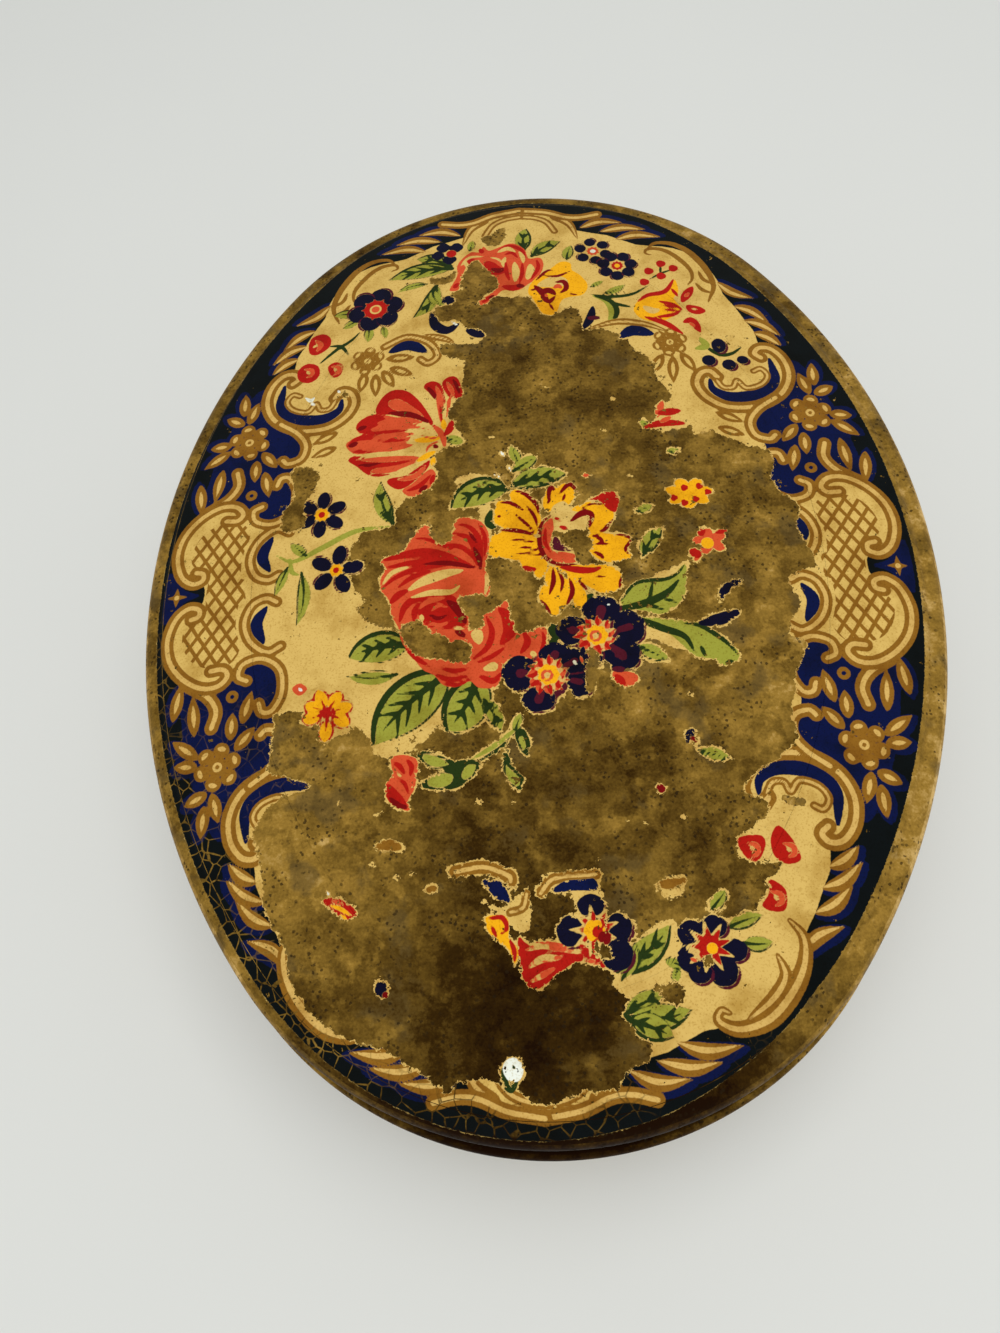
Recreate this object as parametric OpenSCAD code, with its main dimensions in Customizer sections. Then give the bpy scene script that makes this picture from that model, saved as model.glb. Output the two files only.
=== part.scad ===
// Oval slip-lid trinket box, pressed and folded from thin brass sheet.
// The plan is a four-arc oval whose arc centres stand on a 3-4-5 triangle.
// Every section is drawn once and carried round the four arcs.
// Millimetres, long axis along Y, +Z up, standing on Z = 0.

/* [Oval] */
// Half of the oval's length, to the outside of the lid's skirt
half_length = 82; // [72:0.5:95]
// Half of the oval's width, to the outside of the lid's skirt
half_width = 62.7; // [54:0.1:70]

/* [Sheet] */
// Thickness of the sheet
sheet = 0.4; // [0.25:0.05:0.6]
// Gap left between folded layers of sheet
fold_gap = 0.06; // [0.03:0.01:0.15]

/* [Wall] */
// Height of the wall, from the table to the top of its hem
wall_height = 46; // [28:0.5:90]
// Depth of the safety hem folded inwards at the top of the wall
hem_depth = 3.5; // [2:0.1:8]
// Width of the lock seam that closes the wall into an oval
lock_width = 5; // [3:0.1:9]
// Length over which the wall is set in beside the lock seam
lock_run = 2.5; // [1.5:0.1:5]
// Distance at which the lock seam's folds stop short of the hem and of the base
lock_notch = 0.8; // [0.3:0.1:3]

/* [Base] */
// Height of the double seam that joins the base to the wall
seam_height = 3.2; // [2.4:0.1:5]
// Outer radius of the double seam's lower corners
seam_corner = 0.6; // [0.45:0.05:0.8]
// Height of the base panel's underside above the table
panel_rise = 3.4; // [2:0.1:6]
// Inside radius at which the base panel turns down into the seam
panel_bend = 1.2; // [0.5:0.1:3]
// Distance of the stiffening bead's middle from the edge of the base panel
bead_inset = 9; // [4:0.5:20]
// Width of the stiffening bead
bead_width = 4; // [3:0.1:7]
// Height of the stiffening bead
bead_height = 0.7; // [0.4:0.05:1.2]

/* [Lid] */
// Clearance between the lid's skirt and the wall
slip_gap = 0.3; // [0.2:0.05:0.8]
// Gap between the wall's hem and the lid that sits on it
seat_gap = 0.1; // [0.05:0.01:0.15]
// Depth of the skirt below the top of the rim
skirt_depth = 14; // [8:0.5:24]
// Outer radius of the curl at the skirt's lower edge
curl_radius = 1.1; // [0.9:0.05:1.8]
// Opening left between the end of the curl and the skirt
curl_mouth = 0.35; // [0.2:0.05:0.6]
// Outer radius of the shoulder between skirt and rim
shoulder_radius = 2.2; // [1.4:0.1:4]
// Width of the flat rim inside the shoulder
rim_width = 0.7; // [0.4:0.1:3]
// Width of the sloped step from the rim up to the panel
step_width = 0.6; // [0.4:0.1:1.5]
// Height of that step
step_height = 0.5; // [0.2:0.05:1]
// Rise of the crowned panel from the step to its flat middle
crown_rise = 3.1; // [1.5:0.1:5]
// Radius of the round ends of the flat middle of the panel
flat_end_radius = 4; // [2:0.5:12]

/* [Hidden] */
$fn = 96;

// Rounds a worked-out size to the step that a drawing would give
function drawn(size, step) = ceil(size / step) * step;

// Plan: the centres of an end arc and a side arc are 3 and 4 units from the middle, and 5 apart
unit = (half_length - half_width) / 2;
end_middle = 3 * unit;
side_middle = 4 * unit;
end_radius = half_length - end_middle;
side_radius = half_width + side_middle;
meet_angle = atan2(3, 4);
// Degrees by which an arc runs past its middle line before it is cut off there
past_middle = 3;

// Offsets are measured outwards from the outside of the lid's skirt.
// Wall
wall_face = -(sheet + slip_gap);
hem_fold = sheet + fold_gap / 2;

// Double seam, from the inside out: base, wall, base hook, wall hook, base
layer = sheet + fold_gap;
hook_in = sheet / 2 + fold_gap;
hook_out = hook_in + sheet;
chuck_face = wall_face - layer;
seam_face = wall_face + 3 * layer;
wall_bottom = layer;
hook_low = wall_bottom + hook_out;
hook_high = seam_height - hook_out;

// Base panel
panel_top = panel_rise + sheet;
bead_middle = chuck_face - bead_inset;
bead_radius = drawn((bead_width ^ 2 / 4 + bead_height ^ 2) / (2 * bead_height), 0.01);

// Lid: the hem's round fold sits inside the shoulder's round corner
shoulder_in = shoulder_radius - sheet;
seat_across = shoulder_in - slip_gap - hem_fold;
seat_reach = shoulder_in - hem_fold - seat_gap;
seat_up = seat_across > 0 ? sqrt(seat_reach ^ 2 - seat_across ^ 2) : seat_reach;
rim_top = drawn(wall_height - hem_fold - seat_up + shoulder_radius, 0.01);
skirt_bottom = rim_top - skirt_depth;

// Crowned panel: an arc that is level where it meets the flat middle
crown_foot = shoulder_radius + rim_width + step_width;
flat_edge = end_radius - flat_end_radius;
lip_edge = flat_edge + flat_end_radius / 2;
plate_edge = (flat_edge + lip_edge) / 2;
crown_width = flat_edge - crown_foot;
crown_radius = drawn((crown_width ^ 2 + crown_rise ^ 2) / (2 * crown_rise), 0.1);
crown_top = rim_top + step_height + crown_rise;
step_angle = atan2(step_height, step_width);

// Lock seam: pressed flat behind the curve of the wall at its +Y end
lock_half = lock_width / 2;
lock_face = half_length + wall_face;
lock_curve = end_radius + wall_face;
lock_sag = drawn(lock_curve - sqrt(lock_curve ^ 2 - lock_half ^ 2), 0.01);
lock_seat = lock_face - lock_sag - sheet / 2;
lock_top = lock_face - lock_sag - sheet;
lock_back = lock_top - 3 * layer;
lock_left = -lock_half - fold_gap;
lock_low = panel_top + lock_notch;
lock_high = wall_height - hem_depth - lock_notch;

// One quarter of a swept section, from the middle of a side to the middle of an end.
// Both arcs start where they meet, and are cut off square at the middle lines.
module quarter() {
    intersection() {
        union() {
            translate([-side_middle, 0]) rotate(meet_angle)
                rotate_extrude(angle = -meet_angle - past_middle) translate([side_radius, 0]) children();
            translate([0, end_middle]) rotate(meet_angle)
                rotate_extrude(angle = 90 - meet_angle + past_middle) translate([end_radius, 0]) children();
        }
        cube([2 * half_width, 2 * half_length, 2 * crown_top]);
    }
}

// Carries a section round the whole oval. X in the section is the offset from the oval.
module sweep() {
    for (across = [0, 1], along = [0, 1])
        mirror([across, 0, 0]) mirror([0, along, 0]) quarter() children();
}

// Flat sheet that closes the middle of a swept panel, lapping onto its inner lip
module middle_plate(low) {
    side_round = side_radius - plate_edge;
    translate([0, 0, low]) linear_extrude(sheet) intersection() {
        translate([-side_middle, 0]) circle(side_round);
        translate([side_middle, 0]) circle(side_round);
        square(2 * (half_length - plate_edge), center = true);
    }
}

// Rectangle between two offsets and two heights
module bar(from, to, low, high) {
    translate([from, low]) square([to - from, high - low]);
}

// Half of a round fold, bulging upwards (up = 1) or downwards (up = -1)
module fold(x, z, inner, up) {
    reach = inner + sheet;
    translate([x, z]) intersection() {
        difference() {
            circle(reach);
            circle(inner);
        }
        translate([-reach, up > 0 ? 0 : -reach]) square([2 * reach, reach]);
    }
}

// Quarter of a round bend of the sheet, in the corner that right and up point to
module bend(x, z, inner, right, up) {
    reach = inner + sheet;
    translate([x, z]) intersection() {
        difference() {
            circle(reach);
            circle(inner);
        }
        translate([right > 0 ? 0 : -reach, up > 0 ? 0 : -reach]) square(reach);
    }
}

// Section of the wall: hem folded inwards at the top, hook folded outwards at the bottom
module wall_section() {
    hem_middle = wall_face - hem_fold;
    hook_middle = wall_face + hook_in;
    bar(wall_face - sheet, wall_face, hook_low, wall_height - hem_fold);
    fold(hem_middle, wall_height - hem_fold, fold_gap / 2, 1);
    bar(hem_middle - hem_fold, hem_middle - fold_gap / 2, wall_height - hem_depth, wall_height - hem_fold);
    fold(hook_middle, hook_low, hook_in, -1);
    bar(hook_middle + hook_in, hook_middle + hook_out, hook_low, hook_high);
}

// Plan of the lock seam's folded layers, with a slope where the wall is set in to them
module lock_layers() {
    polygon([
        [lock_half, lock_seat], [lock_half, lock_back],
        [lock_left, lock_back], [lock_left - lock_run, lock_seat]
    ]);
}

// Plan of the line between the two hooked edges: under the first layer, round the end of each
// hook in turn, and out through the wall
module lock_line() {
    hook_left = -lock_half + sheet;
    hook_right = lock_half - sheet;
    second = lock_top - layer;
    third = second - layer;
    bar(hook_left, lock_half, lock_top - fold_gap, lock_top);
    bar(hook_left, hook_left + fold_gap, second - fold_gap, lock_top);
    bar(hook_left, hook_right, second - fold_gap, second);
    bar(hook_right - fold_gap, hook_right, third - fold_gap, second);
    bar(lock_left, hook_right, third - fold_gap, third);
    bar(lock_left, -lock_half, third - fold_gap, lock_face + sheet);
}

// Plan of the groove outside the wall, where the sheet is set in
module lock_groove() {
    outside = lock_face + sheet;
    slope = lock_run / (lock_seat - lock_back);
    polygon([
        [lock_left, lock_back + sheet], [lock_left, outside],
        [lock_left - slope * (outside - lock_back - sheet), outside]
    ]);
}

module body_wall() {
    lock_length = lock_high - lock_low;
    color("#8f6f38") difference() {
        union() {
            sweep() wall_section();
            translate([0, 0, lock_low]) linear_extrude(lock_length) lock_layers();
        }
        translate([0, 0, lock_low]) linear_extrude(lock_length) {
            lock_line();
            lock_groove();
        }
    }
}

// Section under the base panel's upper face (drop = 0) or lower face (drop = sheet)
module panel_fill(drop) {
    bar(-lip_edge, chuck_face - sheet - panel_bend, 0, panel_top - drop);
    intersection() {
        translate([bead_middle, panel_top + bead_height - bead_radius]) circle(bead_radius - drop);
        bar(bead_middle - bead_width, bead_middle + bead_width, 0, panel_top + bead_height);
    }
}

// Section of the base: raised panel with its bead, turned down and hooked round the wall's edge
module base_section() {
    corner_in = seam_corner - sheet;
    chuck_in = chuck_face - sheet;
    difference() {
        panel_fill(0);
        panel_fill(sheet);
    }
    bend(chuck_in - panel_bend, panel_rise - panel_bend, panel_bend, 1, 1);
    bar(chuck_in, chuck_face, seam_corner, panel_rise - panel_bend);
    bend(chuck_face + corner_in, seam_corner, corner_in, -1, -1);
    bar(chuck_face + corner_in, seam_face - sheet - corner_in, 0, sheet);
    bend(seam_face - sheet - corner_in, seam_corner, corner_in, 1, -1);
    bar(seam_face - sheet, seam_face, seam_corner, hook_high);
    fold(seam_face - sheet - hook_in, hook_high, hook_in, 1);
    bar(wall_face + fold_gap, wall_face + layer, hook_low, hook_high);
}

module base() {
    color("#7d6132") {
        sweep() base_section();
        middle_plate(panel_rise);
    }
}

// Section under the lid's upper face (drop = 0) or lower face (drop = sheet)
module lid_fill(drop) {
    low = skirt_bottom + curl_radius;
    foot = step_width - crown_foot - drop * tan(step_angle / 2);
    step_reach = crown_rise / tan(step_angle);
    bar(-lip_edge, -flat_edge, low, crown_top - drop);
    intersection() {
        translate([-flat_edge, crown_top - crown_radius]) circle(crown_radius - drop);
        polygon([
            [-flat_edge, low], [-flat_edge, crown_top], [foot - step_reach, crown_top],
            [foot - step_reach, rim_top - drop + crown_rise], [foot, rim_top - drop], [foot, low]
        ]);
    }
    bar(foot, -shoulder_radius, low, rim_top - drop);
    bar(-shoulder_radius, -drop, low, rim_top - shoulder_radius);
    intersection() {
        translate([-shoulder_radius, rim_top - shoulder_radius]) circle(shoulder_radius - drop);
        bar(-shoulder_radius, 0, low, rim_top);
    }
}

// Curl at the skirt's edge, rolled outwards and open towards the skirt at the top
module curl_section() {
    curl_in = curl_radius - sheet;
    middle = curl_in;
    height = skirt_bottom + curl_radius;
    fold(middle, height, curl_in, -1);
    intersection() {
        fold(middle, height, curl_in, 1);
        bar(curl_mouth, middle + curl_radius, height, height + curl_radius);
    }
}

module lid() {
    color("#2b2f5e") {
        sweep() {
            difference() {
                lid_fill(0);
                lid_fill(sheet);
            }
            curl_section();
        }
        middle_plate(crown_top - sheet);
    }
}

body_wall();
base();
lid();
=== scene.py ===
"""Oval slip-lid box: three sheet-metal shells, the worn print on the lid, and a plain studio.

Lengths are millimetres until a mesh is made. The origin is under the middle of the base, +Y runs
along the box and +Z is up.
"""

from __future__ import annotations

import logging
import math
from collections.abc import Callable, Sequence
from dataclasses import dataclass, field, replace
from enum import Enum

import bmesh
import bpy
import numpy as np
from mathutils import Matrix, Vector

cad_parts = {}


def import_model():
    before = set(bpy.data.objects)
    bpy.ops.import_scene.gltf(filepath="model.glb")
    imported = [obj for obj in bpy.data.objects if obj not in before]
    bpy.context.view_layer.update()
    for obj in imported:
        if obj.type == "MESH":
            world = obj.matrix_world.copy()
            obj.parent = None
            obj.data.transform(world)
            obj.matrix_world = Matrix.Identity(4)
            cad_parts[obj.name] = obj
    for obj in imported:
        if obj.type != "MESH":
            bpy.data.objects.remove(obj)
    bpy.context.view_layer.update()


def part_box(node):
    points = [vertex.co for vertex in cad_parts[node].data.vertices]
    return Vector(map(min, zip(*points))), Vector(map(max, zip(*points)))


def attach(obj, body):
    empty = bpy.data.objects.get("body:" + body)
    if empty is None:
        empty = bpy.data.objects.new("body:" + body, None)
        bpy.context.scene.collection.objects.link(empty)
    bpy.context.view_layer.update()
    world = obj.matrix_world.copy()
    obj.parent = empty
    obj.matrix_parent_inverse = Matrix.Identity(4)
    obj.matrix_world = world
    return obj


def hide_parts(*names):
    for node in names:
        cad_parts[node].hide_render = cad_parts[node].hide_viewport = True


LOG = logging.getLogger("oval_box")
MM = 0.001
Point = tuple[float, float]
Path = Sequence[Point]
Colour = tuple[float, float, float, float]
Depth = Callable[[np.ndarray, np.ndarray], np.ndarray]


def tone(red: float, green: float, blue: float) -> Colour:
    """Linear colour of a tone given as it shows on screen, 0 to 255."""
    shown = np.array([red, green, blue]) / 255
    linear = np.where(shown <= 0.04045, shown / 12.92, ((shown + 0.055) / 1.055) ** 2.4)
    return (*linear.tolist(), 1.0)


def path(text: str) -> Path:
    """Pairs of numbers, mostly points, written as x,y with spaces between the pairs."""
    pairs = (pair.split(",") for pair in text.split())
    return tuple((float(x), float(y)) for x, y in pairs)


def paths(text: str) -> tuple[Path, ...]:
    """Paths written one after another, with semicolons between them."""
    return tuple(path(part) for part in text.split(";"))


def smooth(points: Path, closed: bool = False, per: int = 6) -> np.ndarray:
    """Curve through given points, as a Catmull-Rom spline.

    Args:
        points: the points that the curve passes through.
        closed: whether it comes back to its start.
        per: steps between two points.

    Returns:
        The curve's points, (N, 2).
    """
    knots = np.asarray(points, float)
    if closed:
        ring = np.concatenate([knots[-1:], knots, knots[:2]])
    else:
        ring = np.concatenate([2 * knots[:1] - knots[1:2], knots, 2 * knots[-1:] - knots[-2:-1]])
    before, start, stop, after = ring[:-3], ring[1:-2], ring[2:-1], ring[3:]
    t = np.linspace(0, 1, per, endpoint=False)[:, None, None]
    curve = start + 0.5 * t * (
        stop - before
        + t * (2 * before - 5 * start + 4 * stop - after + t * (3 * (start - stop) + after - before))
    )
    curve = curve.transpose(1, 0, 2).reshape(-1, 2)
    return curve if closed else np.concatenate([curve, knots[-1:]])


def arc(x: float, z: float, radius: float, start: float, stop: float, count: int) -> np.ndarray:
    """Points of a circle's arc in a section, angles in degrees, (count, 2)."""
    angle = np.radians(np.linspace(start, stop, count))
    return np.stack([x + radius * np.cos(angle), z + radius * np.sin(angle)], -1)


def unshrunk(section: np.ndarray) -> np.ndarray:
    """Section of offsets and heights, with a shrink of 1 added to each point, (M, 3)."""
    return np.concatenate([section, np.ones((len(section), 1))], -1)


def capped(swept: np.ndarray, steps: int = 6) -> np.ndarray:
    """Section whose first point is led in to the middle, by a shrink that grows from 0 in steps."""
    cap = np.repeat(swept[:1], steps, 0)
    cap[:, 2] = np.linspace(0, 1, steps + 1)[:-1]
    return np.concatenate([cap, swept])


def skin(name: str, grid: np.ndarray, across: bool = True, along: bool = False) -> bpy.types.Object:
    """Mesh object over a grid of points, smooth shaded.

    Args:
        name: the piece's name.
        grid: points in millimetres, (rows, columns, 3).
        across: whether the last column joins the first.
        along: whether the last row joins the first.

    Returns:
        The object, linked to the scene, with its place in its mesh.
    """
    rows, columns = grid.shape[:2]
    index = np.arange(rows * columns).reshape(rows, columns)
    if across:
        index = np.concatenate([index, index[:, :1]], 1)
    if along:
        index = np.concatenate([index, index[:1]], 0)
    quads = np.stack([index[:-1, :-1], index[1:, :-1], index[1:, 1:], index[:-1, 1:]], -1).reshape(-1, 4)
    mesh = bpy.data.meshes.new(name)
    mesh.vertices.add(rows * columns)
    mesh.vertices.foreach_set("co", (grid * MM).astype(np.float32).ravel())
    mesh.loops.add(quads.size)
    mesh.loops.foreach_set("vertex_index", quads.astype(np.int32).ravel())
    mesh.polygons.add(len(quads))
    mesh.polygons.foreach_set("loop_start", np.arange(0, quads.size, 4, dtype=np.int32))
    mesh.update(calc_edges=True)
    mesh.validate()
    mesh.shade_smooth()
    made = bpy.data.objects.new(name, mesh)
    bpy.context.scene.collection.objects.link(made)
    return made


def close_shell(shell: bpy.types.Object, near: float = 1e-6) -> None:
    """Merges points that lie as near as the doubled ones at a shell's poles, and turns its faces out."""
    work = bmesh.new()
    work.from_mesh(shell.data)
    bmesh.ops.remove_doubles(work, verts=work.verts, dist=near)
    bmesh.ops.recalc_face_normals(work, faces=work.faces)
    work.to_mesh(shell.data)
    work.free()


def give(mesh: bpy.types.Mesh, name: str, values: np.ndarray) -> None:
    """Stores one number for each vertex under a name."""
    made = mesh.attributes.new(name, "FLOAT", "POINT")
    made.data.foreach_set("value", np.asarray(values, np.float32).ravel())


@dataclass(frozen=True)
class Oval:
    """Plan of the box: four arcs whose centres stand on a 3-4-5 triangle."""

    half_width: float
    half_length: float
    meet: float = math.atan2(3, 4)

    @property
    def unit(self) -> float:
        """Side of the triangle's unit square."""
        return (self.half_length - self.half_width) / 2

    @property
    def end_radius(self) -> float:
        """Radius of the two end arcs."""
        return self.half_length - 3 * self.unit

    @property
    def side_radius(self) -> float:
        """Radius of the two side arcs."""
        return self.half_width + 4 * self.unit

    def turns(self, count: int) -> np.ndarray:
        """Normal angles of points evenly spaced along the oval, (count,)."""
        knots = np.cumsum([0, self.meet, *[math.pi - 2 * self.meet, 2 * self.meet] * 2])
        knots = np.append(knots[:-1], 2 * math.pi)
        radii = np.resize([self.side_radius, self.end_radius], len(knots) - 1)
        run = np.concatenate([[0], np.cumsum(radii * np.diff(knots))])
        return np.interp(np.linspace(0, run[-1], count, endpoint=False), run, knots)

    def around(self, turns: np.ndarray) -> tuple[np.ndarray, np.ndarray]:
        """Points and outward normals of the oval.

        A point is its arc's centre plus the arc's radius along the normal. Normals flatter than
        the triangle's angle belong to the side arcs.

        Args:
            turns: normal angles in radians, (K,).

        Returns:
            The points and the normals, both (K, 2).
        """
        normal = np.stack([np.cos(turns), np.sin(turns)], -1)
        side = (np.abs(normal[:, 1]) < math.sin(self.meet))[:, None]
        centre = np.sign(normal) * np.where(side, [-4 * self.unit, 0], [0, 3 * self.unit])
        return centre + normal * np.where(side, self.side_radius, self.end_radius), normal

    def inset(self, x: np.ndarray, y: np.ndarray) -> np.ndarray:
        """Distance inside the oval: the arc's radius less the distance to the arc's centre."""
        x, y = np.abs(x), np.abs(y)
        side = np.arctan2(y, x + 4 * self.unit) < self.meet
        to_side = self.side_radius - np.hypot(x + 4 * self.unit, y)
        to_end = self.end_radius - np.hypot(x, y - 3 * self.unit)
        return np.where(side, to_side, to_end)

    def facing(self, x: np.ndarray, y: np.ndarray) -> np.ndarray:
        """Normal angle in degrees, 0 to 360, of the oval's point nearest to each place."""
        across, along = np.abs(x), np.abs(y)
        side = np.arctan2(along, across + 4 * self.unit) < self.meet
        run = np.where(side, across + 4 * self.unit, across)
        rise = np.where(side, along, along - 3 * self.unit)
        return np.degrees(np.arctan2(rise * np.sign(y), run * np.sign(x))) % 360

    def reach(self, angle: np.ndarray, inset: float) -> np.ndarray:
        """Distance from the middle to the oval drawn in by an inset, along each plan angle."""
        c, s = np.abs(np.cos(angle)), np.abs(np.sin(angle))
        side, end = self.side_radius - inset, self.end_radius - inset
        meet = np.arctan2(3 * self.unit + end * math.sin(self.meet), end * math.cos(self.meet))
        to_side = np.sqrt(side**2 - (4 * self.unit * s) ** 2) - 4 * self.unit * c
        to_end = np.sqrt(end**2 - (3 * self.unit * c) ** 2) + 3 * self.unit * s
        return np.where(np.arctan2(s, c) < meet, to_side, to_end)

    def sweep(self, section: np.ndarray, turns: np.ndarray) -> np.ndarray:
        """Section carried round the oval.

        A row is one point of the section, moved along the oval's normal by its offset.

        Args:
            section: offset, height and shrink towards the middle of each point, (M, 3).
            turns: normal angles of the columns, (K,).

        Returns:
            Grid of points, (M, K, 3).
        """
        base, normal = self.around(turns)
        offset, height, shrink = (column[:, None] for column in section.T)
        plan = (base + offset[..., None] * normal) * shrink[..., None]
        return np.concatenate([plan, np.broadcast_to(height, plan.shape[:2])[..., None]], -1)


@dataclass(frozen=True)
class Clouds:
    """Settings of a clouded noise, whose lumps are one period across and long times that in X."""

    period: float
    detail: float = 3.0
    rough: float = 0.55
    seed: float = 0.0
    long: float = 1.0

    @property
    def shift(self) -> tuple[float, float, float]:
        """How far the seed moves the noise, in metres."""
        return self.seed * 0.137, self.seed * 0.071, self.seed * 0.093


class Sock:
    """A node's output that takes part in Python expressions, each adding its Math node."""

    def __init__(self, graph: Graph, socket: bpy.types.NodeSocket) -> None:
        """Wraps an output socket of a graph."""
        self.graph = graph
        self.socket = socket

    def _math(self, operation: str, *terms: Sock | float) -> Sock:
        """Adds a Math node over the terms."""
        return self.graph.node("ShaderNodeMath", {"operation": operation}, dict(enumerate(terms)))

    def __add__(self, other: Sock | float) -> Sock:
        """Sum."""
        return self._math("ADD", self, other)

    def __sub__(self, other: Sock | float) -> Sock:
        """Difference."""
        return self._math("SUBTRACT", self, other)

    def __rsub__(self, other: float) -> Sock:
        """Difference from a number."""
        return self._math("SUBTRACT", other, self)

    def __mul__(self, other: Sock | float) -> Sock:
        """Product."""
        return self._math("MULTIPLY", self, other)

    __radd__ = __add__
    __rmul__ = __mul__

    def most(self, other: Sock | float) -> Sock:
        """The larger of two values."""
        return self._math("MAXIMUM", self, other)

    def least(self, other: Sock | float) -> Sock:
        """The smaller of two values."""
        return self._math("MINIMUM", self, other)

    def off_whole(self) -> Sock:
        """Distance from the nearest whole number."""
        return self._math("PINGPONG", self, 0.5)

    def rise(self, low: float, high: float) -> Sock:
        """Smooth step from 0 at low to 1 at high, or falling where low is the larger."""
        return self.graph.node(
            "ShaderNodeMapRange",
            {"interpolation_type": "SMOOTHSTEP"},
            {"Value": self, "From Min": low, "From Max": high},
        )


class Graph:
    """A material's node tree, with the shader that ends it."""

    def __init__(self, name: str) -> None:
        """Makes an empty material."""
        self.material = bpy.data.materials.new(name)
        self.material.use_nodes = True
        self.tree = self.material.node_tree
        self.shader = self.tree.nodes["Principled BSDF"]
        self.spot = self.node("ShaderNodeTexCoord", out="Object")

    def node(
        self,
        kind: str,
        settings: dict[str, object] | None = None,
        sockets: dict[str | int, object] | None = None,
        out: str | int = 0,
    ) -> Sock:
        """Adds any node.

        Args:
            kind: the node's type.
            settings: its properties, set first; stops holds a ramp's places and colours.
            sockets: values or links of its inputs, by name or number.
            out: the output that is handed back.

        Returns:
            The output.
        """
        made = self.tree.nodes.new(kind)
        for key, value in (settings or {}).items():
            if key == "stops":
                self._set_stops(made.color_ramp, value)
            else:
                setattr(made, key, value)
        for key, value in (sockets or {}).items():
            self.plug(made.inputs[key], value)
        return Sock(self, made.outputs[out])

    @staticmethod
    def _set_stops(ramp: bpy.types.ColorRamp, stops: Sequence[tuple[float, Colour]]) -> None:
        """Gives a ramp its stops."""
        while len(ramp.elements) < len(stops):
            ramp.elements.new(1.0)
        for element, (place, colour) in zip(ramp.elements, stops):
            element.position = place
            element.color = colour

    def plug(self, entry: bpy.types.NodeSocket, value: object) -> None:
        """Links an output to an input, or sets the input's own value."""
        if isinstance(value, Sock):
            self.tree.links.new(value.socket, entry)
        else:
            entry.default_value = value

    def noise(self, clouds: Clouds) -> Sock:
        """Clouded noise about 0.5."""
        sockets = {0: self.spot, 1: (1 / clouds.long, 1, 1), 2: clouds.shift}
        place = self.node("ShaderNodeVectorMath", {"operation": "MULTIPLY_ADD"}, sockets)
        sockets = {"Scale": 1 / (clouds.period * MM), "Detail": clouds.detail, "Roughness": clouds.rough}
        return self.node("ShaderNodeTexNoise", {}, {"Vector": place, **sockets})

    def swing(self, clouds: Clouds) -> Sock:
        """Clouded noise about 0."""
        return self.noise(clouds) - 0.5

    def cells(self, period: float, feature: str = "F1") -> Sock:
        """Distance in Voronoi cells of about one period, in shares of the period."""
        sockets = {"Vector": self.spot, "Scale": 1 / (period * MM)}
        return self.node("ShaderNodeTexVoronoi", {"feature": feature}, sockets, "Distance")

    def plan(self) -> tuple[Sock, Sock]:
        """The place across and along, in metres."""
        return tuple(self.node("ShaderNodeSeparateXYZ", {}, {0: self.spot}, axis) for axis in "XY")

    def stored(self, name: str) -> Sock:
        """Number stored on the mesh under a name."""
        return self.node("ShaderNodeAttribute", {"attribute_name": name}, {}, "Fac")

    def mix(self, share: Sock | float, first: Sock | Colour, second: Sock | Colour) -> Sock:
        """Colour between two, by share."""
        return self.node("ShaderNodeMix", {"data_type": "RGBA"}, {0: share, 6: first, 7: second}, 2)

    def darken(self, share: Sock | float, colour: Sock, tint: Colour) -> Sock:
        """Colour multiplied by a tint, by share."""
        settings = {"data_type": "RGBA", "blend_type": "MULTIPLY"}
        return self.node("ShaderNodeMix", settings, {0: share, 6: colour, 7: tint}, 2)

    def between(self, share: Sock, first: Sock | float, second: Sock | float) -> Sock:
        """Number between two, by share."""
        return self.node("ShaderNodeMix", {"data_type": "FLOAT"}, {0: share, 2: first, 3: second}, 0)

    def finish(self, look: Look, bump: float, gloss: float = 0.5) -> bpy.types.Material:
        """Feeds a look to the shader, with its relief in millimetres, and hands back the material."""
        self.shader.inputs["Specular IOR Level"].default_value = gloss
        sockets = {"Height": look.height, "Distance": bump * MM, "Strength": 1.0}
        relief = self.node("ShaderNodeBump", {}, sockets)
        self.plug(self.shader.inputs["Base Color"], look.colour)
        self.plug(self.shader.inputs["Roughness"], look.roughness)
        self.plug(self.shader.inputs["Metallic"], look.metal)
        self.plug(self.shader.inputs["Normal"], relief)
        return self.material


@dataclass
class Look:
    """What a finish gives the shader at each point."""

    colour: Sock
    roughness: Sock
    metal: Sock | float
    height: Sock


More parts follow.
